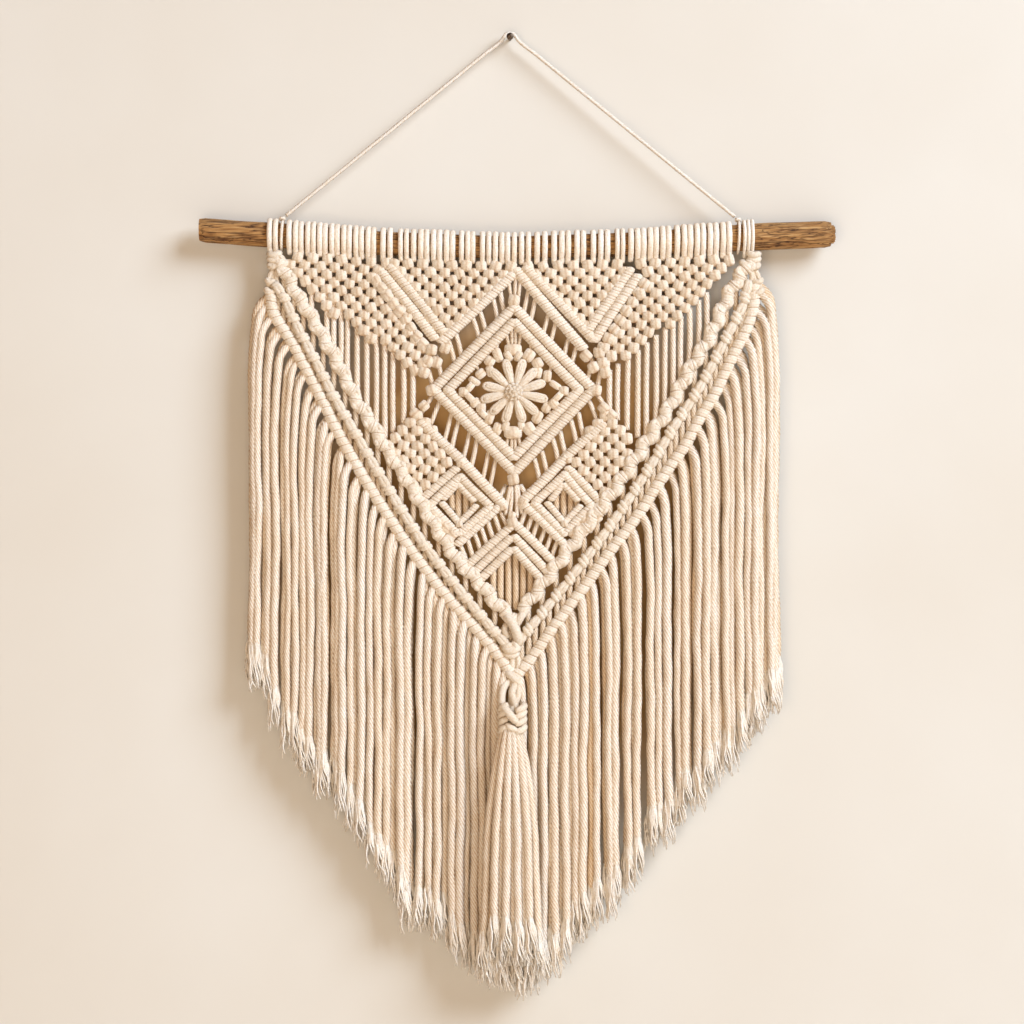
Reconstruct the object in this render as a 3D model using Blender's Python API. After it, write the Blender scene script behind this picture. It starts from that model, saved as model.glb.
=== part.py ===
"""Macrame wall hanging: cotton strands hitched on a branch, which a cord holds on a wall nail.

The frame's origin is where the nail enters the wall. +X runs right, +Z up, and the wall is the plane
Y = 0, so the hanging faces -Y. Tables and sizes are millimetres; blocks of points become metres in solid().
"""

import math
from collections import namedtuple

import bmesh
import bpy
from mathutils import Vector

MM = 0.001
GAP = 0.3  # clearance between two separate pieces

# Branch
BRANCH_Y = -16.0
BRANCH_LEFT, BRANCH_RIGHT = -248.8, 257.0
BRANCH_SIDES = 10
Station = namedtuple("Station", "x z radius")
BRANCH = [
    Station(BRANCH_LEFT, -155.6, 9.7),
    Station(-192.0, -159.6, 10.0),
    Station(-100.0, -166.4, 9.4),
    Station(0.0, -169.8, 9.0),
    Station(100.0, -167.0, 9.6),
    Station(198.0, -161.0, 10.8),
    Station(BRANCH_RIGHT, -159.0, 10.6),
]
BARK = 0.5  # how far the bark's ridges stand on the bare ends
STUB_LENGTH, STUB_RADIUS = 3.4, 5.0  # the broken heartwood at the right end

# Heading: pairs of strands hitched over the branch
HEADING_LEFT, HEADING_RIGHT = -178.6, 178.0
HEADING_PAIRS = 36
WRAP_THICK, WRAP_VALLEY = 3.0, 1.3
EDGE_WRAP_WIDTH = 9.6
EDGE_WRAP_X = (-189.5, 190.5)

# Nail and hanging cord
NAIL_HEAD_RADIUS, NAIL_SHANK_RADIUS = 2.8, 1.3
NAIL_OUT, NAIL_IN, NAIL_POINT = 15.0, 15.0, 4.0
NAIL_SIDES = 12
CORD_RADIUS = 1.6
CORD_Y = -9.0
CORD_BEND, CORD_STEPS = 8.0, 12  # how far from the nail each run is straight, and its pieces
TIE_X = (-182.4, 182.9)
KNOT_RADIUS = 2.8

# The knotted panel, mirrored about its own middle
PANEL_X = 3.2
PANEL_Y = -21.0
NET_HALF_PITCH, NET_ROW = 8.0, 9.0  # from a knot to the gap beside it, and from row to row
NET_KNOT, NET_THIN, NET_BACK = 4.4, 1.2, 3.0  # how far knots, gaps and the plain back lie from the middle
BAR_RIDGE = 10.6  # ridge to ridge along a bar
BAR_WIDE, BAR_DEEP, BAR_NECK = 5.2, 5.6, 0.8
BAR_Y = PANEL_Y - 0.4
STRAND_RADIUS = 2.7

# Fringe and tassel
HEM_LOW, HEM_HIGH, HEM_REACH, HEM_CURVE = -762.0, -524.0, 212.0, 1.15
HEM_RAGGED = 5.0  # how far a strand's end lies from that edge
Layer = namedtuple("Layer", "count y sides radius")  # count is for one side
LAYERS = [Layer(27, -24.5, 4, 3.5), Layer(12, -13.0, 3, 3.85)]
SWING, SWING_MORE, DRIFT = 7.5, 6.5, 1.6  # how far out strands arc, more towards the V's top, and then lean
ARC_DROP = 40.0  # a strand hangs straight from this far below its root
TASSEL_TOP = -517.6
HeadRow = namedtuple("HeadRow", "down wide y")
TASSEL_HEAD = [
    HeadRow(0, 3.0, -21.2),
    HeadRow(2.5, 4.0, -21.8),
    HeadRow(7, 6.2, -27),
    HeadRow(13, 5.4, -33),
    HeadRow(21, 8.2, -35.5),
    HeadRow(29, 7.4, -37),
    HeadRow(35, 9.6, -38),
    HeadRow(40, 8.6, -38.5),
]
FanRow = namedtuple("FanRow", "z wide deep")
TASSEL_FAN = [FanRow(-554, 5, 2), FanRow(-577, 14, 4.5), FanRow(-628, 18, 5.5), FanRow(-735, 23, 6.2)]
TASSEL_X, TASSEL_Y = 0.8, -38.5
TASSEL_STRANDS, TASSEL_RADIUS = 16, 3.15

COTTON = (0.86, 0.78, 0.66, 1.0)
WOOD = (0.36, 0.20, 0.09, 1.0)
STEEL = (0.20, 0.17, 0.14, 1.0)

# A bar runs through (x, z) points and lies on both sides unless side says otherwise.
Bar = namedtuple("Bar", "side points closed")
BARS = [
    Bar("both", [(-106, -190), (-61, -243)], False),
    Bar("both", [(-99, -185), (-55.5, -237.5)], False),
    Bar("middle", [(-57.5, -246.5), (-1.6, -192), (55.5, -250)], False),
    Bar("right", [(7, -190), (62.5, -246)], False),
    Bar("middle", [(0, -218), (63.5, -285), (0, -355.5), (-63.5, -285)], True),
    Bar("middle", [(0, -230.4), (51.8, -285), (0, -342.6), (-51.8, -285)], True),
    Bar("both", [(-71, -308), (-10.4, -376)], False),
    Bar("both", [(-70, -369), (-45.4, -346)], False),
    Bar("both", [(-41.8, -409.5), (-10, -377.5)], False),
    Bar("both", [(-41, -353.5), (-19.6, -375.6), (-40.4, -398), (-63.4, -376)], True),
    Bar("middle", [(-33, -422), (0, -389.5), (33, -422)], False),
    Bar("middle", [(-27.4, -430.5), (0, -400.6), (27.4, -430.5)], False),
    Bar("middle", [(-22, -438.5), (0, -411.6), (22, -438.5)], False),
]

# Nets of square knots, as convex outlines of (x, z) on the left side; each is mirrored.
NETS = [
    [(-180, -178), (-105, -180.4), (-62, -243), (-64.5, -271), (-74, -271), (-180, -196)],
    [(-101, -180.5), (-1.6, -183.6), (-1.6, -192), (-56, -243)],
    [(-75, -299), (-45, -343), (-71, -367), (-100, -322)],
]

# The three rows of the V, from its top left to its bottom middle.
INNER_V = [(-187, -183), (-171, -208), (-152, -244), (-125.6, -290), (-94.4, -346), (-64, -390)]
INNER_V += [(-33.6, -428), (0, -465)]
MIDDLE_V = [(-191, -196), (-175.2, -229.6), (-148.8, -280.8), (-107.2, -350.4), (-71.2, -408)]
MIDDLE_V += [(-32.8, -452.8), (0, -491)]
OUTER_V = [(-195, -206), (-177.6, -250.4), (-152, -297.6), (-115.2, -361.6), (-78.4, -414.4)]
OUTER_V += [(-40, -465.6), (0, -513)]
Band = namedtuple("Band", "wide deep neck ridge sides")
INNER_BAND = Band(8.0, 7.6, 0.76, 13.0, 3)
MIDDLE_BAND = Band(6.0, 5.4, 0.7, 13.5, 3)
OUTER_BAND = Band(4.6, 4.8, 0.84, 12.0, 4)
OUTER_CLEAR = 0.8  # how much wider than the outer row its bed in the panel is

# Free strands of the panel, as (x, z) ends on the left side; each is mirrored. Those with no top
# hang from the heading.
Strand = namedtuple("Strand", "x top foot_x foot")
STRANDS = [
    # from the ends of the heading to the V
    Strand(-193.5, None, -194.5, -212), Strand(-187, None, -187, -190), Strand(-178, None, -178, -204),
    # between the upper net and the V
    Strand(-161.5, -204, -162, -226), Strand(-150, -212, -149.5, -250), Strand(-142, -216, -142, -262),
    Strand(-134, -222, -134, -276), Strand(-125.5, -229, -125.5, -292), Strand(-118, -235, -117.5, -306),
    Strand(-110.5, -241, -110, -316), Strand(-103, -246, -102.5, -320), Strand(-96, -252, -95.5, -316),
    Strand(-88, -258, -87.5, -310), Strand(-81, -264, -80.5, -306),
    # from the upper nets to the diamond
    Strand(-69, -266, -64.5, -283), Strand(-62, -252, -56.5, -272), Strand(-54.5, -250, -50, -268),
    Strand(-38, -232, -33, -250), Strand(-31.5, -225, -27.5, -244), Strand(-20, -212, -16, -234),
    Strand(-14, -206, -11, -229), Strand(-6.2, -196, -2.6, -218),
    # from the diamond to the lower diamonds
    Strand(-64, -288, -75, -306), Strand(-58, -294, -66, -313), Strand(-50, -303, -55, -326),
    Strand(-44.5, -310, -49, -332), Strand(-35, -320, -39, -343), Strand(-29, -327, -33, -350),
    Strand(-20, -337, -24, -360), Strand(-14, -344, -19, -366), Strand(-8, -352, -12, -374),
    # from the lower diamonds to the chevrons
    Strand(-9, -378, -4.5, -394), Strand(-15.5, -383, -11, -401), Strand(-22, -390, -17.5, -408),
    Strand(-28.5, -396, -24, -414), Strand(-35, -402, -30.5, -420), Strand(-41.5, -408, -36.5, -430),
    # the curtain under the lowest chevron, and behind the small diamonds
    Strand(-3.2, -412, -3.2, -458), Strand(-9.4, -420, -9.4, -454), Strand(-15.6, -428, -15.6, -447),
    Strand(-44, -352, -44, -392), Strand(-37.4, -352, -37.4, -392),
]
LINK_PITCH = 20.0  # between the strands that tie the rows of the V together

# Rosette: petals round a knotted button, tied to the inner diamond
ROSE_Z = -285.6
ROSE_PETALS, PETAL_LENGTH, PETAL_WIDE, PETAL_DEEP = 12, 28.5, 4.3, 2.6
PetalRow = namedtuple("PetalRow", "along wide y")  # shares of its length and width, and how far it bows
PETAL = [PetalRow(0.1, 0.3, 0), PetalRow(0.4, 0.62, -1), PetalRow(0.78, 1, -1.2), PetalRow(1, 0.5, 0.4)]
BUTTON_RADIUS, BUTTON_SIDES = 6.2, 10
ButtonRow = namedtuple("ButtonRow", "y share")
BUTTON = [ButtonRow(2.2, 0.7), ButtonRow(-0.5, 1.0), ButtonRow(-3.8, 0.92), ButtonRow(-5.4, 0.5)]
ROSE_Y = -22.5
TIE_KNOTS = 12
DIAMOND_REACH = 66.0  # from the rosette's middle to the outer diamond's corners
TIE_KNOT_RADIUS, TIE_KNOT_AT = 4.0, 33.0


# Curves


def smooth(points, step):
    """Points about step apart on a Catmull-Rom curve through points of any dimension."""
    rows = [Vector(p) for p in points]
    rows = [2 * rows[0] - rows[1], *rows, 2 * rows[-1] - rows[-2]]
    found = []
    for a, b, c, d in zip(rows, rows[1:], rows[2:], rows[3:]):
        count = max(1, round((c - b).length / step))
        for i in range(count):
            t = i / count
            slope, bend, twist = c - a, 2 * a - 5 * b + 4 * c - d, 3 * b - a - 3 * c + d
            found.append(b + (slope * t + bend * t * t + twist * t**3) / 2)
    return [*found, rows[-2]]


def spaced(points, step, closed=False):
    """Points evenly about step apart on the straight runs between points, with every corner kept."""
    ends = [Vector(p) for p in points] + ([Vector(points[0])] if closed else [])
    found = []
    for a, b in zip(ends, ends[1:]):
        count = max(2, 2 * round((b - a).length / step / 2))
        found += [a.lerp(b, i / count) for i in range(count)]
    return found if closed else [*found, ends[-1]]


def at_depth(points, y):
    """(x, z) points of the panel as points of the frame."""
    return [Vector((p[0] + PANEL_X, y, p[1])) for p in points]


def mirrored(points):
    return [(-p[0], *p[1:]) for p in points]


def wobble(index, seed):
    """A number from -1 to 1 that looks random and is the same each time."""
    return math.sin(index * 12.9898 + seed * 78.233) * math.cos(index * 4.1414 + seed * 3.7)


# Shells: each is (points, faces), closed, in millimetres


def outward(points, faces):
    volume = 0.0
    for face in faces:
        a = points[face[0]]
        volume += sum(a.dot(points[b].cross(points[c])) for b, c in zip(face[1:], face[2:]))
    return (points, faces) if volume > 0 else (points, [face[::-1] for face in faces])


def lofted(rings, ends_meet=False):
    """A shell through rings of points: capped at both ends, or with its last ring joined to its first."""
    sides, points = len(rings[0]), [p for ring in rings for p in ring]
    faces, count = [], len(rings)
    for i in range(count if ends_meet else count - 1):
        near, far = i * sides, (i + 1) % count * sides
        for k in range(sides):
            m = (k + 1) % sides
            faces.append([near + k, near + m, far + m, far + k])
    if not ends_meet:
        faces += [list(range(sides))[::-1], [(count - 1) * sides + k for k in range(sides)]]
    return outward(points, faces)


def tube(path, wide, deep, sides, closed=False):
    """A tube along path. wide and deep give each ring's half sizes, across the path and along Y.

    A ring of three corners has one in front and a flat back. One of four has a corner each way.
    """
    turn = -math.pi / 2 if sides == 3 else 0.0
    angles = [turn + 2 * math.pi * k / sides for k in range(sides)]
    rings, last = [], len(path) - 1
    for i, centre in enumerate(path):
        before = path[i - 1] if closed or i else centre
        after = path[(i + 1) % len(path)] if closed or i < last else centre
        along = (after - before).normalized()
        across = along.cross(Vector((0, 1, 0))).normalized()
        depth = across.cross(along)
        if closed:
            across = across / max(0.6, abs(along.dot((centre - before).normalized())))
        across, depth = across * wide[i], depth * deep[i]
        rings.append([centre + across * math.cos(a) + depth * math.sin(a) for a in angles])
    return lofted(rings, closed)


def ridged(path, band, closed=False):
    """A tube whose rings are full and necked by turns, as rows of hitches or knots are."""
    size = [1.0 if i % 2 else band.neck for i in range(len(path))]
    wide, deep = [band.wide * s for s in size], [band.deep * s for s in size]
    return tube(path, wide, deep, band.sides, closed)


def plain(path, radius, sides):
    return tube(path, [radius] * len(path), [radius] * len(path), sides)


def bead(centre, wide, high, deep):
    """A knot's lump: a squat barrel, widest in the middle."""
    path = [centre + Vector((0, 0, high * f)) for f in (-1, 0, 1)]
    share = (0.6, 1.0, 0.6)
    return tube(path, [wide * s for s in share], [deep * s for s in share], 4)


# Branch, heading, nail and cord


def branch_at(x):
    """The branch's centre height and radius at x."""
    for a, b in zip(BRANCH, BRANCH[1:]):
        if x <= b.x:
            break
    t = (x - a.x) / (b.x - a.x)
    return a.z + (b.z - a.z) * t, a.radius + (b.radius - a.radius) * t


def ring_round_branch(x, extra, bark=0.0):
    """Points round the branch at x, extra outside its flats."""
    z, radius = branch_at(x)
    found = []
    for k in range(BRANCH_SIDES):
        angle = 2 * math.pi * k / BRANCH_SIDES
        r = radius + extra / math.cos(math.pi / BRANCH_SIDES) + bark * wobble(k, x)
        found.append(Vector((x, BRANCH_Y + r * math.cos(angle), z + r * math.sin(angle))))
    return found


def branch_shell():
    stations = [BRANCH_LEFT, -236, -222, -207, *[s.x for s in BRANCH[1:-1]], 212, 227, 243, BRANCH_RIGHT]
    rings = [ring_round_branch(x, 0, BARK if abs(x) > 200 else 0) for x in stations]
    centre = Vector((BRANCH_RIGHT, BRANCH_Y, BRANCH[-1].z))
    for out in (0.0, STUB_LENGTH):
        share = STUB_RADIUS / BRANCH[-1].radius
        rings.append([centre + (p - centre) * share + Vector((out, 0, 0)) for p in rings[len(stations) - 1]])
    return lofted(rings)


def sleeve(left, right, count):
    """Wraps round the branch from left to right: count ridges outside, a smooth bore inside."""
    outer = []
    for i in range(2 * count + 1):
        x = left + (right - left) * i / (2 * count)
        outer.append(ring_round_branch(x, WRAP_THICK if i % 2 else GAP + WRAP_VALLEY))
    bore = [x for x in (s.x for s in BRANCH) if left < x < right]
    inner = [ring_round_branch(x, GAP) for x in [right, *bore[::-1], left]]
    return lofted(outer + inner, ends_meet=True)


def nail_shell():
    """Turned about Y: a domed head, a shank, and a point that goes into the wall."""
    profile = [
        (-NAIL_OUT - 0.9, NAIL_HEAD_RADIUS * 0.55),
        (-NAIL_OUT - 0.5, NAIL_HEAD_RADIUS * 0.92),
        (-NAIL_OUT, NAIL_HEAD_RADIUS),
        (-NAIL_OUT + 0.8, NAIL_HEAD_RADIUS),
        (-NAIL_OUT + 0.9, NAIL_SHANK_RADIUS),
        (NAIL_IN - NAIL_POINT, NAIL_SHANK_RADIUS),
        (NAIL_IN, 0.15),
    ]
    return lofted([disc(Vector((0, y, 0)), radius, NAIL_SIDES) for y, radius in profile])


def cord_route():
    """The hanging cord from tie to tie: two taut runs, and the bend over the nail between them."""
    nail = Vector((0, CORD_Y, NAIL_SHANK_RADIUS + GAP + CORD_RADIUS))
    runs = []
    for x in TIE_X:
        knot = tie_top(x)
        down = (knot - nail).normalized()
        start = knot - down * (KNOT_RADIUS + 2 * GAP)
        shoulder = nail + down * CORD_BEND
        runs.append([start.lerp(shoulder, i / CORD_STEPS) for i in range(CORD_STEPS + 1)])
    low = Vector((0, 0, -0.16 * CORD_BEND / 2))
    over = [nail + Vector((x * CORD_BEND, 0, 0)) + low * abs(x) * 2 for x in (-0.35, 0, 0.35)]
    return [*runs[0], *over, *runs[1][::-1]]


def tie_top(x):
    """The middle of the tie's knot, on top of the branch at x."""
    z, radius = branch_at(x)
    return Vector((x, BRANCH_Y + 1.0, z + radius + GAP + 2 * CORD_RADIUS + 0.8))


def tie_shells(x):
    """A loop of cord round the branch and the knot that closes it on top."""
    z, radius = branch_at(x)
    reach = radius / math.cos(math.pi / BRANCH_SIDES) + GAP + CORD_RADIUS
    steps, rings = 12, []
    for i in range(steps):
        a = 2 * math.pi * i / steps
        out = Vector((0, math.cos(a), math.sin(a)))
        centre = Vector((x, BRANCH_Y, z)) + out * (reach / math.cos(math.pi / steps))
        ring = []
        for k in range(5):
            b = 2 * math.pi * k / 5
            ring.append(centre + CORD_RADIUS * (out * math.cos(b) + Vector((0.9 * math.sin(b), 0, 0))))
        rings.append(ring)
    return [lofted(rings, ends_meet=True), bead(tie_top(x), KNOT_RADIUS, KNOT_RADIUS * 0.8, KNOT_RADIUS)]


# Nets, bars, rows of the V and strands


def net_shell(corners):
    """A slab cut to a convex outline, raised at each knot and low at each gap. Its back is plain."""
    lowest, highest = min(c[1] for c in corners), max(c[1] for c in corners)
    left, right = min(c[0] for c in corners), max(c[0] for c in corners)
    columns = range(math.floor(left / NET_HALF_PITCH), math.ceil(right / NET_HALF_PITCH) + 1)
    rows = range(math.floor(lowest / NET_ROW), math.ceil(highest / NET_ROW) + 1)
    mesh, grid = bmesh.new(), {}
    for i in columns:
        for j in rows:
            out = NET_THIN if (i + j) % 2 else NET_KNOT
            grid[i, j] = mesh.verts.new((i * NET_HALF_PITCH + PANEL_X, PANEL_Y - out, j * NET_ROW))
    for i in columns[:-1]:
        for j in rows[:-1]:
            ring = [grid[i, j], grid[i + 1, j], grid[i + 1, j + 1], grid[i, j + 1]]
            ring = ring[(i + j) % 2 :] + ring[: (i + j) % 2]
            mesh.faces.new(ring[:3])
            mesh.faces.new([ring[2], ring[3], ring[0]])
    rim = bmesh.ops.extrude_edge_only(mesh, edges=[e for e in mesh.edges if e.is_boundary])["geom"]
    for vert in (part for part in rim if isinstance(part, bmesh.types.BMVert)):
        vert.co.y = PANEL_Y + NET_BACK
    bmesh.ops.contextual_create(mesh, geom=[e for e in mesh.edges if e.is_boundary])
    middle = sum((Vector(c) for c in corners), Vector((0, 0))) / len(corners)
    for a, b in zip(corners, corners[1:] + corners[:1]):
        normal = Vector((a[1] - b[1], 0, b[0] - a[0]))
        if normal.dot(Vector((middle[0] - a[0], 0, middle[1] - a[1]))) > 0:
            normal = -normal
        place = Vector((a[0] + PANEL_X, 0, a[1]))
        whole = mesh.verts[:] + mesh.edges[:] + mesh.faces[:]
        cut = bmesh.ops.bisect_plane(mesh, geom=whole, plane_co=place, plane_no=normal, clear_outer=True)
        edges = [e for e in cut["geom_cut"] if isinstance(e, bmesh.types.BMEdge)]
        bmesh.ops.contextual_create(mesh, geom=edges)
    bmesh.ops.triangulate(mesh, faces=mesh.faces[:])
    mesh.verts.index_update()
    shell = outward([v.co.copy() for v in mesh.verts], [[v.index for v in f.verts] for f in mesh.faces])
    mesh.free()
    return shell


def bar_shells():
    band, shells = Band(BAR_WIDE, BAR_DEEP, BAR_NECK, BAR_RIDGE, 3), []
    for bar in BARS:
        copies = (bar.points, mirrored(bar.points)) if bar.side == "both" else (bar.points,)
        for points in copies:
            path = at_depth(spaced(points, band.ridge / 2, bar.closed), BAR_Y)
            shells.append(ridged(path, band, bar.closed))
    return shells


def v_path(points, band):
    """One row of the V as one line, down its left side and up its right."""
    left = smooth(points, band.ridge / 2)
    right = [Vector((-p[0], p[1])) for p in left[-2::-1]]
    return at_depth(left + right, PANEL_Y)


def height_on(points, x):
    """The height of a row of the V at x, which is 0 or less."""
    for a, b in zip(points, points[1:]):
        if a[0] <= x <= b[0]:
            return a[1] + (b[1] - a[1]) * (x - a[0]) / (b[0] - a[0])
    return points[-1][1]


def under_heading(x):
    """The height just under the heading's wraps at x from the panel's middle."""
    z, radius = branch_at(x + PANEL_X)
    return z - radius - WRAP_THICK / math.cos(math.pi / BRANCH_SIDES) - GAP


def strand_shells():
    shells = []
    for i, s in enumerate(STRANDS):
        for side in (1, -1):
            top = under_heading(side * s.x) if s.top is None else s.top
            ends = [(side * s.x, top), (side * s.foot_x, s.foot)]
            shells.append(plain(at_depth(ends, PANEL_Y + 0.9 * wobble(i, 1)), STRAND_RADIUS, 3))
    return shells


def link_shells():
    """The strands that run down from the V's inner row, through its middle row, to its outer one."""
    shells = []
    count = int(-MIDDLE_V[0][0] / LINK_PITCH)
    for i in range(1, count):
        x = -i * LINK_PITCH
        ends = [(x, height_on(INNER_V, x)), (x * 0.99, height_on(OUTER_V, x * 0.99))]
        for run in (ends, mirrored(ends)):
            shells.append(plain(at_depth(run, PANEL_Y + 1.0), STRAND_RADIUS, 3))
    middle = [(0, INNER_V[-1][1]), (0, OUTER_V[-1][1] + 7)]
    return [*shells, plain(at_depth(middle, PANEL_Y + 1.0), STRAND_RADIUS * 1.5, 4)]


# Rosette


def spoke(k, count):
    """The direction of the kth of count spokes in the panel's plane."""
    angle = 2 * math.pi * (k + 0.5) / count
    return Vector((math.cos(angle), 0, math.sin(angle)))


def disc(centre, radius, sides):
    """A ring of points round Y."""
    return [centre + radius * spoke(k, sides) for k in range(sides)]


def rosette_shells():
    centre = Vector((PANEL_X, ROSE_Y, ROSE_Z))
    shells = [lofted([disc(centre + Vector((0, y, 0)), BUTTON_RADIUS * f, BUTTON_SIDES) for y, f in BUTTON])]
    for k in range(ROSE_PETALS):
        out = spoke(k, ROSE_PETALS)
        path = [centre + out * PETAL_LENGTH * row.along + Vector((0, row.y, 0)) for row in PETAL]
        wide = [PETAL_WIDE * row.wide for row in PETAL]
        shells.append(tube(path, wide, [PETAL_DEEP] * len(PETAL), 4))
    return shells


def rosette_tie_shells():
    """Knots at the petals' tips, each on a strand that runs out to the inner diamond."""
    centre = Vector((PANEL_X, PANEL_Y, ROSE_Z))
    shells = []
    for k in range(TIE_KNOTS):
        out = spoke(k, TIE_KNOTS)
        reach = DIAMOND_REACH / (abs(out.x) * 1.08 + abs(out.z))
        shells.append(bead(centre + out * TIE_KNOT_AT, TIE_KNOT_RADIUS, TIE_KNOT_RADIUS, TIE_KNOT_RADIUS))
        if reach > TIE_KNOT_AT + 2:
            shells.append(plain([centre + out * (TIE_KNOT_AT - 1), centre + out * reach], STRAND_RADIUS, 4))
    return shells


# Fringe and tassel


def hem(x):
    """The height of the fringe's lower edge at x from the panel's middle."""
    return HEM_LOW + (HEM_HIGH - HEM_LOW) * min(1.05, abs(x) / HEM_REACH) ** HEM_CURVE


def fringe_shells():
    shells = [ridged(v_path(OUTER_V, OUTER_BAND), OUTER_BAND)]
    reach = -OUTER_V[0][0]
    for side in (-1, 1):
        for layer in LAYERS:
            for k in range(layer.count):
                root = reach * (k + 0.5) / layer.count
                swing = SWING + SWING_MORE * root / reach
                hang = root + swing
                top = height_on(OUTER_V, -root)
                low = hem(hang) + HEM_RAGGED * wobble(k, side)
                path = [(root, top, PANEL_Y)]
                path += [(root + swing * 0.66, top - ARC_DROP * 0.3, (PANEL_Y + layer.y) / 2)]
                path += [(hang, top - ARC_DROP, layer.y), (hang + DRIFT * root / reach, low, layer.y)]
                run = [Vector((side * x + PANEL_X, y, z)) for x, z, y in path]
                shells.append(plain(run, layer.radius, layer.sides))
    return shells


def tassel_shells():
    """A plaited head that hangs under the V's point, and the strands that fan out under it."""
    lean = (TASSEL_X - PANEL_X) / TASSEL_HEAD[-1].down
    path = [Vector((PANEL_X + lean * row.down, row.y, TASSEL_TOP - row.down)) for row in TASSEL_HEAD]
    wide = [row.wide for row in TASSEL_HEAD]
    shells = [tube(path, wide, [0.72 * w for w in wide], 8)]
    for k in range(TASSEL_STRANDS):
        angle = 2 * math.pi * (k + 0.5) / TASSEL_STRANDS
        run = []
        for row in TASSEL_FAN:
            place = Vector((row.wide * math.cos(angle), row.deep * math.sin(angle), row.z))
            run.append(place + Vector((TASSEL_X, TASSEL_Y, 0)))
        run[-1].z += HEM_RAGGED * wobble(k, 3)
        shells.append(plain(run, TASSEL_RADIUS, 4))
    return shells


# Objects


def finish(name, colour, roughness, metallic=0.0):
    material = bpy.data.materials.new(name)
    material.use_nodes = True
    shader = material.node_tree.nodes["Principled BSDF"]
    shader.inputs["Base Color"].default_value = colour
    shader.inputs["Roughness"].default_value = roughness
    shader.inputs["Metallic"].default_value = metallic
    return material


def mesh_object(name, shell, collection):
    points, faces = shell
    mesh = bpy.data.meshes.new(name)
    mesh.from_pydata([p * MM for p in points], [], faces)
    made = bpy.data.objects.new(name, mesh)
    collection.objects.link(made)
    return made


def tube_object(name, route, radius, material):
    """A cord: a curve along route with a round section and closed ends."""
    curve = bpy.data.curves.new(name, "CURVE")
    curve.dimensions = "3D"
    curve.bevel_depth = radius * MM
    curve.bevel_resolution = 2
    curve.use_fill_caps = True
    spline = curve.splines.new("POLY")
    spline.points.add(len(route) - 1)
    for point, place in zip(spline.points, route):
        point.co = (*(place * MM), 1.0)
    curve.materials.append(material)
    made = bpy.data.objects.new(name, curve)
    bpy.context.scene.collection.objects.link(made)
    return made


def solid(name, shells, material, without=(), keep=1.0):
    """One object: shells joined into one body, less those of without. keep is the share of faces left."""
    made = mesh_object(name, shells[0], bpy.context.scene.collection)
    made.data.materials.append(material)
    for operation, others in (("UNION", shells[1:]), ("DIFFERENCE", without)):
        if not others:
            continue
        group = bpy.data.collections.new(f"{name} {operation.lower()}")
        bpy.context.scene.collection.children.link(group)
        group.hide_render = True
        for i, shell in enumerate(others):
            helper = mesh_object(f"{name}_{operation.lower()}_{i}", shell, group)
            helper.hide_render = True
            helper.display_type = "WIRE"
        boolean = made.modifiers.new(operation.title(), "BOOLEAN")
        boolean.operation = operation
        boolean.operand_type = "COLLECTION"
        boolean.collection = group
        boolean.solver = "EXACT"
    if keep < 1:
        made.modifiers.new("Thinned", "DECIMATE").ratio = keep
    return made


def main():
    for old in list(bpy.data.objects):
        bpy.data.objects.remove(old, do_unlink=True)
    cotton = finish("cotton", COTTON, 0.9)
    wood = finish("wood", WOOD, 0.75)
    steel = finish("steel", STEEL, 0.4, metallic=0.9)

    solid("branch", [branch_shell()], wood)
    solid("wall_nail", [nail_shell()], steel)
    tube_object("hanging_cord", cord_route(), CORD_RADIUS, cotton)
    for name, x in zip(("tie_left", "tie_right"), TIE_X):
        solid(name, tie_shells(x), cotton)
    solid("heading", [sleeve(HEADING_LEFT, HEADING_RIGHT, HEADING_PAIRS)], cotton)
    for name, x in zip(("edge_wrap_left", "edge_wrap_right"), EDGE_WRAP_X):
        solid(name, [sleeve(x - EDGE_WRAP_WIDTH / 2, x + EDGE_WRAP_WIDTH / 2, 2)], cotton)

    nets = [net_shell(corners) for net in NETS for corners in (net, mirrored(net)[::-1])]
    inner, middle = (ridged(v_path(p, b), b) for p, b in ((INNER_V, INNER_BAND), (MIDDLE_V, MIDDLE_BAND)))
    panel = [*nets, *bar_shells(), inner, middle, *strand_shells(), *link_shells(), *rosette_tie_shells()]
    wider = OUTER_BAND._replace(wide=OUTER_BAND.wide + OUTER_CLEAR, deep=OUTER_BAND.deep + OUTER_CLEAR)
    bed = ridged(v_path(OUTER_V, OUTER_BAND), wider)
    solid("panel", panel, cotton, without=[bed], keep=0.62)
    solid("rosette", rosette_shells(), cotton)
    solid("fringe", fringe_shells(), cotton, keep=0.8)
    solid("tassel", tassel_shells(), cotton)


main()
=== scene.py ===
"""Looks of a macrame wall hanging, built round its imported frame.

The tables are millimetres. A point of the knotted panel is (x, z) from the panel's own middle, and in_panel()
puts it in the frame, whose origin is where the nail enters the wall. The wall is the plane Y = 0, and the
hanging faces -Y. Each piece becomes metres in Cords.piece() or in settle().
"""

import math
import random

import bmesh
import bpy
import numpy as np
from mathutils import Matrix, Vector, noise


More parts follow.
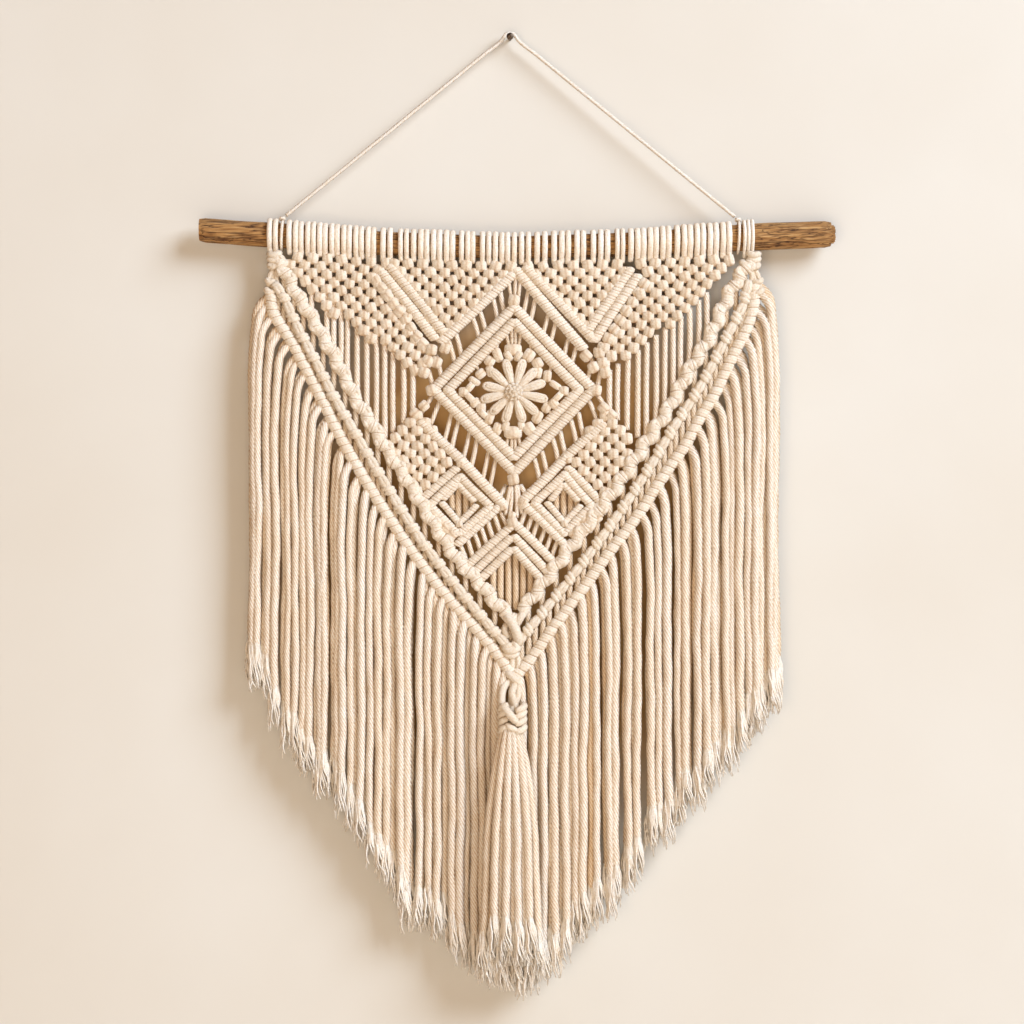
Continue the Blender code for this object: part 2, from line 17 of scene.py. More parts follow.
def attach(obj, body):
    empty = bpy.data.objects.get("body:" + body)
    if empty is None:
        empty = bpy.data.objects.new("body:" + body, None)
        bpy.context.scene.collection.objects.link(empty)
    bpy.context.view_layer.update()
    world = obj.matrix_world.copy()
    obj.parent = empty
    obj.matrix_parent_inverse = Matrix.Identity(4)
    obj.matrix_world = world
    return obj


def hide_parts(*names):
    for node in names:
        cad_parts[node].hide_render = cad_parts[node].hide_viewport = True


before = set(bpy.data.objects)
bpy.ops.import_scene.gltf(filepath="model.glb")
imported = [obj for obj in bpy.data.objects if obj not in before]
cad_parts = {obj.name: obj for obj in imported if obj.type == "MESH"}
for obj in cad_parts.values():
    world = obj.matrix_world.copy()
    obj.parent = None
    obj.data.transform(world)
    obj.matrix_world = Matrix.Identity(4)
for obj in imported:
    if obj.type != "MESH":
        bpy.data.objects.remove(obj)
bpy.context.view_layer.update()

MM = 0.001
TURN = 2 * math.pi

# Camera and lights, in metres
LENS, SENSOR = 105.0, 36.0
VIEW_WIDTH, VIEW_X, VIEW_Z = 0.8192, 0.0016, -0.3816  # how wide the view is at the panel, and its middle
LIGHTS = (  # place, aim, size, watts, colour
    ("window light", (3.0, -2.55, 2.0), (0, 0, -0.4), 2.4, 260, "E0EEFF"),
    ("room light", (-0.5, -3.0, -0.9), (0, 0, -0.45), 2.0, 42, "FFEBD2"),
)
WALL_SIZE = 6
FLOOR_PLACE = (0, -2.6, -1.6)

FRONT = (0, 1, 0)  # the reference that keeps a strand's section square to the wall
ALONG_BRANCH = (1, 0, 0)

# What the cord is: about this many yarns laid round each strand, in a helix of this lead
YARNS = 8
LEAD = 33.0
GROOVE = 0.09  # how deep the line between two yarns is, as a share of the radius

# Branch, heading and cord, where the frame has them
BRANCH_Y = -16.0
BRANCH_SIDES, BRANCH_RINGS = 72, 330
BARE_FROM = 200  # outside this no strand covers the wood, and its swellings and cracks are full size
SWELLING, CRACK_DEEP = 0.5, 0.9
BRANCH_STATIONS = [  # x, z, radius
    (-248.8, -155.6, 9.7), (-192.0, -159.6, 10.0), (-100.0, -166.4, 9.4), (0.0, -169.8, 9.0),
    (100.0, -167.0, 9.6), (198.0, -161.0, 10.8), (257.0, -159.0, 10.6),
]
STUB_LENGTH = 3.4  # how far the wood's core stands out of the right end
HEADING_LEFT, HEADING_RIGHT = -178.6, 178.0
HEADING_GAPS = [  # where bare wood shows between the strands: left and right edge
    (-106.4, -104.0), (-93.2, -89.2), (-80.8, -79.2), (-43.2, -40.8), (-27.2, -24.0), (-14.9, -13.9),
    (5.6, 7.2), (16.8, 19.2), (30.4, 32.8), (49.6, 51.2), (60.8, 64.0), (80.8, 84.0), (92.0, 94.4),
    (129.6, 131.2),
]
WRAP_PITCH, WRAP_WIDE, WRAP_THICK = 4.95, 2.4, 1.7  # and half sizes of a strand pressed flat on the branch
EDGE_WRAPS = (-192.0, -187.3, 187.4, 190.6, 193.8)
TIE_X = (-182.4, 182.9)
TIE_RADIUS = 1.6
KNOT_RADIUS = 2.8

NAIL_HEAD_RADIUS, NAIL_SHANK_RADIUS = 2.8, 1.3
NAIL_OUT, NAIL_IN, NAIL_POINT, NAIL_HEAD = 15.0, 15.0, 4.0, 0.8
CORD_RADIUS = 1.6
CORD_Y = -9.0
CORD_BEND, CORD_STEPS = 8.0, 12
GAP = 0.3

# The knotted panel
PANEL_X, PANEL_Y = 3.2, -21.0
STRAND_RADIUS = 2.5
COLUMN, ROW = 11.75, 6.05  # square knots: from knot to knot in a row, and from row to row
UNDER_BRANCH = 7.0  # the first row of knots, below the branch
KNOT_WIDE, KNOT_HIGH, KNOT_DEEP = 4.7, 4.85, 4.1
NETS = [  # outlines of the nets of square knots
    [(-184, -165), (-100, -165), (-101, -186), (-110, -194), (-70, -244), (-68, -264), (-78, -269),
     (-184, -194)],
    [(-100, -165), (1, -165), (1, -187), (-3, -190), (-57, -241), (-96, -186)],
    [(1, -165), (93, -165), (91, -188), (58, -238), (9, -187)],
    [(93, -165), (184, -165), (171, -192), (162, -203), (74, -270), (66, -255), (103, -197), (98, -188)],
    [(-76, -297), (-106, -322), (-77, -370), (-48, -344)],
    [(74, -297), (100, -320), (74, -372), (46, -339)],
]
HITCH = 2.5  # from ridge to ridge of the hitches along a bar
UPPER_BARS = [  # two on each side of the upper nets, and the chevron between them
    [(-105.8, -189.9), (-63.4, -242.7)], [(-99.1, -185.0), (-57.4, -236.8)],
    [(-1.6, -191.6), (-58.4, -245.2)], [(1.6, -188.0), (55.2, -250.4)], [(9.6, -186.4), (63.6, -243.6)],
    [(92.5, -187.6), (58.8, -236.4)], [(99.0, -193.1), (64.2, -244.3)],
]
DIAMOND_BARS = [  # twice round the diamond
    [(0.0, -217.6), (-64.4, -283.6)], [(0.0, -217.6), (63.2, -283.6)],
    [(-64.4, -283.6), (0.0, -350.0)], [(63.2, -283.6), (0.0, -350.0)],
    [(0.0, -229.2), (-53.0, -284.2)], [(0.0, -229.2), (52.2, -284.0)],
    [(-53.0, -284.2), (-0.4, -338.2)], [(52.2, -284.0), (-0.4, -338.2)],
    # over the small diamonds
    [(-74.4, -309.6), (-42.4, -340.0)], [(-42.4, -340.0), (-8.8, -375.2)],
    [(71.2, -311.2), (42.4, -336.8)], [(42.4, -336.8), (8.0, -371.6)],
]
LOWER_BARS = [
    # the small diamond on the left, then on the right
    [(-46.0, -346.8), (-73.6, -371.6)], [(-43.6, -354.0), (-67.4, -376.4)],
    [(-43.6, -352.6), (-19.2, -376.4)], [(-12.4, -377.6), (-45.2, -407.4)],
    [(-19.6, -377.6), (-44.2, -399.2)], [(-67.4, -376.4), (-44.4, -399.4)],
    [(41.6, -350.6), (17.0, -373.8)], [(43.2, -346.2), (69.6, -374.2)], [(42.0, -353.2), (62.4, -376.6)],
    [(6.4, -374.2), (42.6, -409.8)], [(16.0, -374.6), (40.6, -399.8)], [(62.4, -376.6), (41.0, -398.4)],
    # the chevrons under them
    [(-2.6, -393.2), (-36.8, -424.0)], [(-2.6, -402.4), (-31.6, -429.4)], [(-2.4, -411.6), (-26.6, -435.2)],
    [(0.8, -391.2), (35.2, -425.6)], [(0.0, -401.2), (29.6, -432.4)], [(0.0, -410.8), (25.0, -438.8)],
]
THIN_BARS = [  # innermost in the small diamonds
    [(-57.6, -374.4), (-45.0, -389.4)], [(-30.4, -376.4), (-43.2, -389.4)],
    [(-45.4, -359.4), (-56.4, -371.0)], [(-44.2, -359.4), (-31.6, -372.6)],
    [(26.6, -374.2), (39.2, -389.2)], [(53.0, -376.6), (41.0, -389.2)],
    [(38.4, -359.4), (29.6, -371.6)], [(39.6, -359.4), (51.0, -372.2)],
]
BARS = ((4.4, UPPER_BARS), (4.15, DIAMOND_BARS), (3.6, LOWER_BARS), (2.8, THIN_BARS))  # with their radii
KNOT_ROWS = [  # rows of single round knots: start, end, count, radius
    ((-110.6, -196.0), (-73.0, -247.0), 9, 4.2), ((104.0, -199.0), (70.5, -250.0), 8, 4.2),
    ((-55.2, -250.8), (-62.0, -262.0), 2, 4.4), ((57.6, -256.8), (63.4, -266.0), 2, 4.4),
    ((-66.0, -252.0), (-72.0, -270.0), 3, 4.4), ((68.0, -254.0), (73.0, -270.0), 3, 4.4),
    ((-72.0, -296.8), (-79.0, -303.0), 2, 4.2), ((71.6, -298.4), (78.0, -304.0), 2, 4.2),
    ((-69.2, -378.8), (-49.2, -399.6), 5, 3.9), ((66.4, -378.4), (47.6, -398.4), 5, 3.9),
    ((-68.2, -386.0), (-51.8, -403.2), 4, 3.7), ((66.8, -386.4), (50.4, -403.6), 4, 3.7),
]
KNOTS = [  # single round knots: x, z, radius
    (0.0, -212.6, 4.8), (-65.8, -284.2, 4.6), (65.6, -284.2, 4.6), (-0.6, -355.4, 4.7), (-42.2, -342.0, 4.0),
    (42.4, -338.8, 4.0), (-8.4, -376.6, 3.7), (7.8, -373.6, 3.7), (-43.8, -391.0, 2.9), (40.2, -390.8, 2.9),
    (-1.6, -384.4, 3.2), (-1.2, -390.0, 4.4), (-52.4, -283.0, 2.8), (52.4, -283.0, 2.8),
]

# The three rows of the V, from its top to its point, on the left and on the right
INNER_V = (
    [(-192, -177), (-182.4, -190.4), (-174.4, -206.4), (-164, -222.4), (-154.4, -238.4), (-144, -256.8),
     (-134.4, -275.2), (-125.6, -292.8), (-114.4, -310), (-104, -328), (-86.4, -354.4), (-66.4, -387.2),
     (-46.4, -417.6), (-26.4, -440), (-13.6, -455.2), (3.2, -470.4)],
    [(189.6, -180), (180.8, -192.8), (173, -205), (166.4, -219.2), (159.6, -235.2), (151.2, -250.4),
     (141.6, -265.6), (132.8, -281.6), (124, -298), (113, -315.2), (100, -334), (84, -358.4), (66, -382.4),
     (49.6, -403.2), (33.6, -424.8), (18.4, -444.8), (4, -463)],
)
MIDDLE_V = (
    [(-192, -198), (-184.8, -208), (-172.8, -234.4), (-162.4, -253.6), (-145.6, -286.4), (-128.8, -315.2),
     (-109.6, -348), (-92.8, -375.2), (-74.4, -404), (-54.4, -430.4), (-34.4, -455.2), (-16, -476.8),
     (-1.6, -491.6)],
    [(188, -196), (183.2, -216), (171.2, -239.2), (161.6, -257.6), (153.6, -272.8), (145.6, -286.6),
     (136, -301), (125, -318), (108.8, -345), (91.2, -372), (72, -399.2), (52.8, -424.8), (33.6, -448.8),
     (15, -471.4), (-1.6, -491.6)],
)
OUTER_V = (
    [(-194, -206), (-192.8, -220.8), (-184.8, -234.4), (-176.8, -247.2), (-168.8, -262), (-160.8, -277.6),
     (-152.8, -292.8), (-140, -319.2), (-126.4, -343.2), (-108.8, -372), (-92, -397.6), (-72, -425.6),
     (-52, -450.8), (-33.6, -471.2), (-15.2, -492.8), (-1, -512)],
    [(192, -198.4), (192, -213), (188, -229.6), (181.6, -244), (173.6, -259.2), (167.2, -273.6),
     (159.2, -289.6), (150.4, -303.2), (140, -323), (118.4, -354.4), (98.4, -385), (75.2, -415.2),
     (53.6, -444.8), (32.8, -472), (8, -505.4), (-1, -514.4)],
)
TOP_KNOTS = [  # at the V's right top, mirrored for the left one: points, radius, lift
    ([(186, -174), (192, -176.4), (197, -175)], 3.1, 1.5),
    ([(186.4, -179), (192, -180.6), (197, -178.4)], 3.0, 0.6),
    ([(188, -182), (193.4, -185.6), (196.4, -183)], 3.1, 0.4),
    ([(181, -181), (185, -184.4), (191, -186)], 3.2, 1.0),
    ([(192, -186), (195.6, -194), (196.6, -203)], 2.3, -1.2),
    ([(189, -186), (190.4, -193), (189, -200)], 2.2, -1.0),
    ([(193, -187), (192.4, -195), (193.4, -204)], 2.1, -1.4),
    ([(198.5, -195), (195, -198), (191, -196.4)], 2.8, 0.2),
    ([(199, -202.6), (195.4, -206.4), (191, -205)], 3.1, 0.8),
]
POINT_KNOTS = [  # at its point, from the left inner row's end, which goes over the right one's
    ([(-7, -463), (0, -473), (4.4, -486)], 4.3, 3.0), ([(11, -458), (5, -466), (1, -474)], 3.6, 0.8),
    ([(-6, -470), (-7.4, -477), (-4, -482)], 2.9, 1.4), ([(-9, -489), (-2, -492.6), (4.6, -489.4)], 3.4, 2.4),
    ([(-8.4, -494), (-2, -496.6), (4, -494.4)], 3.0, 1.4),
    ([(-5.2, -494), (-5.8, -502), (-4.8, -511)], 2.3, 0.2),
    ([(-1.2, -494), (-1.4, -502), (-1, -511)], 2.2, 0.8), ([(2.6, -494), (3.4, -502), (2.4, -511)], 2.3, 0.2),
    ([(-6, -509), (0.6, -515), (5.4, -519.6)], 3.6, 2.6), ([(4.6, -510), (2.6, -515), (-1, -519)], 3.0, 0.6),
]
LOBE = 17.5  # from lobe to lobe on one edge of the inner row
INNER_RADIUS, INNER_SWAY = 5.3, 1.3
CHAIN_PITCH = 18.0
ROW_HITCH, ROW_RADIUS = 2.3, 4.8

# Free strands of the panel: x and z of the top, x and z of the foot
STRANDS_LEFT = [
    (-161.5, -200, -162, -228), (-150, -206, -149.5, -252), (-144, -212, -143.8, -264),
    (-138.4, -218, -138.4, -274), (-133, -222, -133, -284), (-125.6, -228, -125.2, -298),
    (-118, -234, -117.8, -310), (-110.4, -240, -110.4, -318), (-103.4, -246, -103.2, -324),
    (-96.8, -250, -96.8, -318), (-88.6, -256, -88.4, -312), (-80.8, -262, -80.8, -306),
]
STRANDS_RIGHT = [
    (154, -206, 155, -243), (148, -212, 147.6, -254), (140.4, -218, 140, -268), (133.6, -223, 133.4, -280),
    (127.2, -228, 127.2, -292), (121, -234, 120.6, -303), (113.6, -240, 113.4, -316),
    (106.4, -246, 106, -326),
    (99.2, -252, 98.8, -322), (91.2, -258, 90.4, -316), (83.2, -263, 82.8, -308), (76.4, -268, 76.4, -303),
]
SLANTED = [
    # from the chevrons to the diamond
    (-69, -264, -65, -281), (-61.5, -256, -57.5, -276), (-52.5, -244, -47.5, -262), (-46.8, -238, -42, -257),
    (-33.5, -225, -28, -243), (-27.5, -220, -22.4, -238), (-16.8, -210, -13, -229), (-11.2, -204, -7.4, -223),
    (17, -210, 13, -229), (11.4, -204, 7.6, -223), (34, -228, 29, -247), (28, -221, 23, -240),
    (50.5, -247, 46, -264), (44.5, -240, 40, -258), (63, -258, 58.5, -277), (70, -266, 66, -283),
    # from the diamond to the bars over the small diamonds
    (-65, -288, -75.6, -304), (-59, -292, -67, -312), (-50, -302, -56, -326), (-44, -308, -50, -332),
    (-35.4, -317, -41, -340), (-29.6, -323, -34.4, -346), (-20.4, -333, -25.2, -356),
    (-14.6, -339, -19.4, -362),
    (-6.4, -360, -13.4, -372), (67, -288, 76.4, -304), (60, -292, 67.6, -312), (51.6, -302, 57, -326),
    (45.6, -308, 51, -332), (37, -317, 42, -338), (31, -323, 35.6, -343), (22.4, -333, 27, -352),
    (16.4, -339, 21, -358), (5.2, -360, 11.6, -371),
    # from the bars to the chevrons at the bottom
    (-10.8, -381, -4.8, -394), (-15.8, -384, -10.2, -400), (-21, -389, -15.6, -405),
    (-26.2, -394, -20.8, -410),
    (-31.6, -399, -26.4, -415), (-37, -404, -31.8, -420), (-42.6, -409, -37, -425), (10, -378, 4.4, -394),
    (15, -383, 9.4, -398), (20.2, -388, 14.6, -403), (25.4, -393, 19.8, -408), (30.6, -398, 25, -413),
    (35.8, -403, 30.2, -418), (41, -408, 35.4, -423), (45, -413, 40.2, -424),
]
TIES = [  # the bundles between the single knots on the middle line
    (-4.6, -192, -2.2, -210), (1.8, -190, 0.6, -210), (5.8, -192, 3.4, -210), (-2.8, -360, -7, -384),
    (-1.8, -360, -3.4, -386), (1.4, -360, 2.2, -386), (2.8, -360, 6.4, -383), (-3.6, -495, -3.8, -509),
    (0.8, -495, 0.9, -509), (-1.6, -494, -1.4, -510),
]
CURTAIN = [  # strands that hang behind the openings: x, top, foot
    (-16.4, -428, -446), (-10.6, -420, -452), (-4.6, -414, -458), (1.4, -414, -460), (7.4, -418, -456),
    (13.2, -426, -450), (18.8, -434, -444), (-50, -366, -380), (-44.4, -356, -394), (-38.6, -358, -392),
    (-33, -366, -380), (34, -366, -380), (39.6, -356, -394), (45.4, -358, -392), (50.6, -366, -380),
]
CURTAIN_Y = -16.5

# Rosette
ROSE_Z, ROSE_Y = -285.6, -22.5
PETALS, PETAL_INNER, PETAL_LENGTH, PETAL_WIDE = 12, 3.0, 27.2, 2.8
ROSE_KNOTS = [  # round the petals, from the middle: x, z, half length, half width, lean from upright
    (-0.8, 33.6, 4.2, 5.6, 0.0), (-4.6, 28.6, 4.0, 2.2, -0.6), (3.4, 28.6, 4.0, 2.2, 0.6),
    (-13.0, 29.4, 5.2, 2.9, -0.35), (11.9, 29.2, 4.6, 3.6, 0.6), (-19.4, 24.4, 3.6, 3.3, 0.6),
    (-19.0, 16.6, 4.2, 2.6, -0.3), (18.8, 22.8, 3.8, 3.5, -0.5), (18.8, 15.2, 4.2, 2.9, 0.2),
    (-26.6, 14.4, 3.8, 2.9, 0.9), (26.6, 12.6, 4.2, 2.7, 0.1), (-31.6, 8.6, 4.4, 2.1, -1.0),
    (-35.0, 4.0, 4.4, 2.2, 0.7), (-40.2, 0.0, 3.4, 3.2, 0.0), (-35.2, -4.6, 4.6, 2.1, -0.8),
    (-31.0, -8.6, 3.8, 2.5, 0.9), (-26.4, -12.4, 3.8, 3.2, 0.0), (33.0, 5.4, 4.6, 2.1, -1.0),
    (39.8, 0.8, 3.4, 3.2, 0.0), (35.0, -4.0, 4.6, 2.1, 0.8), (31.6, -9.2, 3.6, 3.0, -0.7),
    (26.0, -12.4, 4.0, 2.9, 0.5), (18.7, -20.2, 4.6, 3.1, 0.5), (11.8, -29.2, 4.2, 3.9, -0.6),
    (6.0, -27.0, 3.8, 2.2, -0.2), (-0.8, -32.4, 4.4, 5.8, 0.0), (-6.8, -27.4, 3.8, 2.3, 0.3),
    (-13.2, -29.4, 4.4, 3.1, 0.4), (-19.4, -20.2, 5.2, 2.9, 0.3), (-24.6, -17.6, 3.6, 2.1, -0.8),
]
ROSE_TIES = [  # strands from there to the diamond: x, z, foot x, foot z
    (-4.0, 36, -6.0, 46), (-1.6, 36, -1.7, 51), (1.0, 36, 1.2, 51), (3.4, 36, 5.6, 46), (-14, 33, -13.2, 39),
    (13, 32, 13.6, 39), (-20.6, 26.4, -23.6, 30), (20.6, 25.6, 24, 29.6), (-28.6, 17, -30.4, 22),
    (28.2, 15.6, 30, 21.6), (-4.4, -35, -6.6, -45), (-1.8, -35, -2.0, -50), (0.8, -35, 1.0, -50),
    (3.2, -35, 5.4, -45), (-14.4, -32, -13.6, -39), (13.2, -31.6, 13, -39), (-22, -23, -24.6, -28),
    (20.8, -22.6, 24, -27.6), (-28.4, -15, -30.6, -21), (28.4, -14.8, 30.6, -20.4),
]

# Fringe and tassel
HEM = [  # the fringe's lower edge
    (-213.6, -510), (-196.8, -523), (-191.2, -555), (-182.4, -565), (-170.4, -575), (-160.8, -604),
    (-144.8, -611), (-134.4, -622), (-118.4, -652), (-103.2, -678), (-93.6, -688), (-85.6, -707),
    (-66.4, -714), (-54.4, -725), (-38.4, -745), (-20, -758), (0, -762), (20.8, -758), (38.4, -736),
    (56, -719), (70.4, -705), (80.8, -692), (92, -678), (111.2, -650), (127.2, -635), (133.6, -623),
    (153.6, -606), (164, -592), (174.4, -579), (184, -567), (193.6, -553), (204, -542), (211.2, -527),
]
FRONT_COUNT, BACK_COUNT = 28, 27  # strands on one side
FRINGE_RADIUS = 3.6
FRONT_Y, BACK_Y = -24.5, -20.2
FRAY = 24.0  # how long the loose yarns at a strand's end are
FRAY_INSIDE = 17.0  # and how far up inside the strand they start
PLIES, PLY_YARNS = 6, 3
TASSEL_X, TASSEL_Y = 0.8, -38.5
TASSEL_LUMPS = (-536.4, -542.0, -547.6, -553.0)  # the knot's lumps on each side
TASSEL_FAN = [  # z, half width, half depth
    (-556, 6.6, 4.4), (-578, 11.6, 5.2), (-597, 14.8, 5.6), (-628, 18.2, 6.2), (-665, 20.4, 6.6),
    (-735, 23, 7),
]
TASSEL_ROWS = [  # from the front to the back: their feet, how far forward they lie, and the strands' shares
    (-722, 1.15, (-0.62, -0.18, 0.26, 0.68)), (-730, 0.45, (-0.96, -0.42, 0.06, 0.48, 0.97)),
    (-742, -0.3, (-0.8, -0.3, 0.2, 0.7)), (-752, -1, (-0.55, -0.1, 0.35, 0.6)),
]

chance = random.Random(11)


def jitter(size):
    return chance.uniform(-size, size)


# Paths


def smooth(points, step):
    """Points evenly about step apart on a smooth curve through points, however unevenly these are spaced."""
    rows = np.asarray(points, float)
    gap = np.linalg.norm(np.diff(rows, axis=0), axis=1)[:, None]
    slope = np.diff(rows, axis=0) / gap
    inner = (slope[:-1] * gap[1:] + slope[1:] * gap[:-1]) / (gap[:-1] + gap[1:])
    slope = np.vstack([slope[:1], inner, slope[-1:]])
    runs = []
    for i, size in enumerate(gap[:, 0]):
        t = np.linspace(0, 1, max(6, round(size / step * 1.5)), endpoint=False)[:, None]
        start, end, leave, reach = rows[i], rows[i + 1], slope[i] * size, slope[i + 1] * size
        runs.append(
            start * (2 * t**3 - 3 * t**2 + 1) + leave * (t**3 - 2 * t**2 + t)
            + end * (3 * t**2 - 2 * t**3) + reach * (t**3 - t**2)
        )
    return spaced(np.vstack([*runs, rows[-1:]]), step)


def lengths(points):
    """How far along the line each of points lies."""
    return np.concatenate([[0], np.cumsum(np.linalg.norm(np.diff(points, axis=0), axis=1))])


def spaced(points, step):
    """Points evenly about step apart along the line through points."""
    points = np.asarray(points, float)
    along = lengths(points)
    at = np.linspace(0, along[-1], max(3, round(along[-1] / step) + 1))
    return np.column_stack([np.interp(at, along, points[:, i]) for i in range(points.shape[1])])


def in_panel(points, y=PANEL_Y):
    """(x, z) points of the panel as points of the frame."""
    return [(p[0] + PANEL_X, y, p[1]) for p in points]


def frames_on(path, reference):
    """The directions along a path, across it and towards the reference, one row for each of its points."""
    along = np.gradient(path, axis=0)
    along /= np.linalg.norm(along, axis=1)[:, None]
    across = np.cross(along, np.asarray(reference, float))
    across /= np.linalg.norm(across, axis=1)[:, None]
    return along, across, np.cross(across, along)


def branch_at(x):
    xs, zs, radii = zip(*BRANCH_STATIONS)
    return float(np.interp(x, xs, zs)), float(np.interp(x, xs, radii))


# Cord


class Cords:
    """Tubes of cord, gathered to become one mesh.

    The UV map runs round and along each tube in millimetres, with the yarns. One attribute is painted shade:
    1 in the lines between yarns and where little light gets in. The attribute tone differs a little from
    strand to strand, and is set low, painted darker as shade, for strands that lie behind others.
    """

    def __init__(self):
        self.points, self.quads, self.maps, self.caps = [], [], [], []
        self.groove, self.tone, self.count = [], [], 0

    def rings(self, rings, groove, along, around, tone=None, closed=False):
        n, k = rings.shape[:2]
        index = np.arange(n * k).reshape(n, k) + self.count
        far = np.roll(index, -1, axis=0)
        if not closed:
            index, far = index[:-1], far[:-1]
        corner = np.arange(k) * around / k
        quads = np.stack([index, far, np.roll(far, -1, axis=1), np.roll(index, -1, axis=1)], axis=-1)
        ahead = corner + around / k
        u = np.broadcast_to(np.stack([corner, corner, ahead, ahead], -1), quads.shape)
        v0, v1 = along[: len(index)], np.append(along[1:], along[-1] * 2 - along[-2])[: len(index)]
        v = np.broadcast_to(np.stack([v0, v1, v1, v0], -1)[:, None], quads.shape)
        self.quads.append(quads.reshape(-1, 4))
        self.maps.append(np.stack([u, v], -1).reshape(-1, 2))
        if not closed:
            first, last = self.count, self.count + (n - 1) * k
            self.caps += [list(range(first, first + k)), list(range(last + k - 1, last - 1, -1))]
        self.points.append(rings.reshape(-1, 3))
        self.groove.append(np.broadcast_to(groove, (n, k)).reshape(-1))
        self.tone.append(np.full(n * k, chance.uniform(0.4, 1) if tone is None else tone))
        self.count += n * k

    def strand(
        self, path, radius, flat=(1, 1), yarns=YARNS, lead=LEAD, deep=GROOVE, reference=FRONT, tone=None
    ):
        """A twisted strand along path: yarns ridges in a helix. flat scales its section across and in depth.

        Its lines between yarns, and its sides and back as grooves too, get painted shade, because strands lie
        close there and little light gets in.
        """
        path = np.asarray(path, float)
        _, across, back = frames_on(path, reference)
        along, corners = lengths(path), 2 * yarns
        turn = math.pi / yarns * np.arange(corners) + TURN / lead * along[:, None] + chance.uniform(0, TURN)
        size = np.broadcast_to(radius, len(path))[:, None] * np.where(np.arange(corners) % 2, 1 - deep * 2, 1)
        rings = path[:, None] + across[:, None] * (np.cos(turn) * size * flat[0])[..., None]
        rings = rings + back[:, None] * (np.sin(turn) * size * flat[1])[..., None]
        groove = np.where(np.arange(corners) % 2, min(0.9, deep * 9), 0.0)
        behind = (rings[..., 1] - path[:, 1, None]) / np.broadcast_to(radius, len(path))[:, None]
        groove = np.maximum(groove, np.interp(behind, (-0.4, 0, 0.4, 0.9), (0, 0.78, 0.7, 0)))
        self.rings(rings, groove, along, TURN * float(np.mean(radius)), tone)

    def hitched(self, path, radius, hitch, creases, slant=0.0, swell=None, corners=12, lump=0.0, tone=None):
        """A row of hitches round a core, with a crease before each, as deep as the next of creases.

        The rings lean along the row by slant, a number or a function of the place, swell gives the size
        there, and lump is how much each run through creases bulges.
        """
        path = np.asarray(path, float)
        _, across, back = frames_on(path, FRONT)
        along = lengths(path)
        rows, at, k = [], 0.0, 0
        while at < along[-1]:
            step, crease, size = hitch * (1 + jitter(0.13)), creases[k % len(creases)], 1 + jitter(0.03)
            # painted shade: the cord is darker at each crease, and a little on either side of it
            for share, deep, groove in (
                (0, crease, min(1, crease * 7)), (0.2, 0.015, 0.1), (0.5, 0, 0), (0.8, 0.015, 0.1),
            ):
                bulge = math.sin(math.pi * (k % len(creases) + share) / len(creases))
                rows.append((at + step * share, size * (1 - deep) * (1 + lump * (bulge - 0.6)), groove))
            at, k = at + step, k + 1
        at, size, groove = np.array([r for r in rows if r[0] < along[-1]]).T
        if swell:
            size = size * swell(at)
        ends = np.minimum(at, along[-1] - at) / radius
        size = radius * size * np.sqrt(np.clip(1 - (1 - np.minimum(ends * 1.6, 1)) ** 2, 0.1, 1))
        turn = TURN / corners * np.arange(corners)
        lean = slant(at)[:, None] if callable(slant) else slant
        where = np.clip(at[:, None] + lean * np.cos(turn) * radius, 0, along[-1])

        def there(rows):
            return np.stack([np.interp(where, along, rows[:, i]) for i in range(3)], -1)

        rings = there(path) + there(across) * (np.cos(turn) * size[:, None])[..., None]
        rings = rings + there(back) * (np.sin(turn) * size[:, None])[..., None]
        self.rings(rings, groove[:, None], at, TURN * radius, tone)

    def yarn(self, path, radii, corners=3, tone=None):
        """A thin plain tube whose radius changes along path."""
        path = np.asarray(path, float)
        _, across, back = frames_on(path, FRONT)
        turn = TURN / corners * np.arange(corners) + chance.uniform(0, TURN)
        size = np.asarray(radii, float)[:, None]
        rings = path[:, None] + across[:, None] * (np.cos(turn) * size)[..., None]
        rings = rings + back[:, None] * (np.sin(turn) * size)[..., None]
        self.rings(rings, 0.2, lengths(path), TURN * float(np.mean(radii)), tone)

    def fray(self, end, heading, radius, length, tone=None):
        """The end of a cut strand: it opens in wavy plies, and the yarns of each keep together."""
        heading = np.asarray(heading) / np.linalg.norm(heading)
        across = np.cross(heading, (0, 1, 0))
        across /= np.linalg.norm(across)
        deep = np.cross(across, heading)
        t = np.linspace(0, 1, 9)[:, None]
        for k in range(PLIES):
            angle, spin = TURN * k / PLIES + jitter(0.35), chance.uniform(0.8, 1.8)
            reach, flare = length * chance.uniform(0.65, 1.1), chance.uniform(0.1, 0.62)
            for lock in range(PLY_YARNS):
                turn = angle + spin * t + (lock - 1) * 0.35
                out = across * np.cos(turn) + deep * np.sin(turn)
                wave = across * np.sin(t * (8 + lock) + angle * 3) * (0.8 + 0.4 * lock) * t
                open_by = np.interp(t, (0, 0.4, 1), (0.45, 0.8, 0.8)) + flare * t**1.6 + 0.16 * lock * t
                down = (reach * chance.uniform(0.8, 1.1) + FRAY_INSIDE) * t - FRAY_INSIDE
                size = np.interp(t[:, 0], (0, 0.4, 1), (0.55, 1.08, 0.55)) * chance.uniform(0.8, 1.15)
                # painted light: the loose yarns take only pale tones, to lighten them where they shade each
                # other
                self.yarn(end + heading * down + out * radius * open_by + wave, size, tone=max(tone, 0.8))

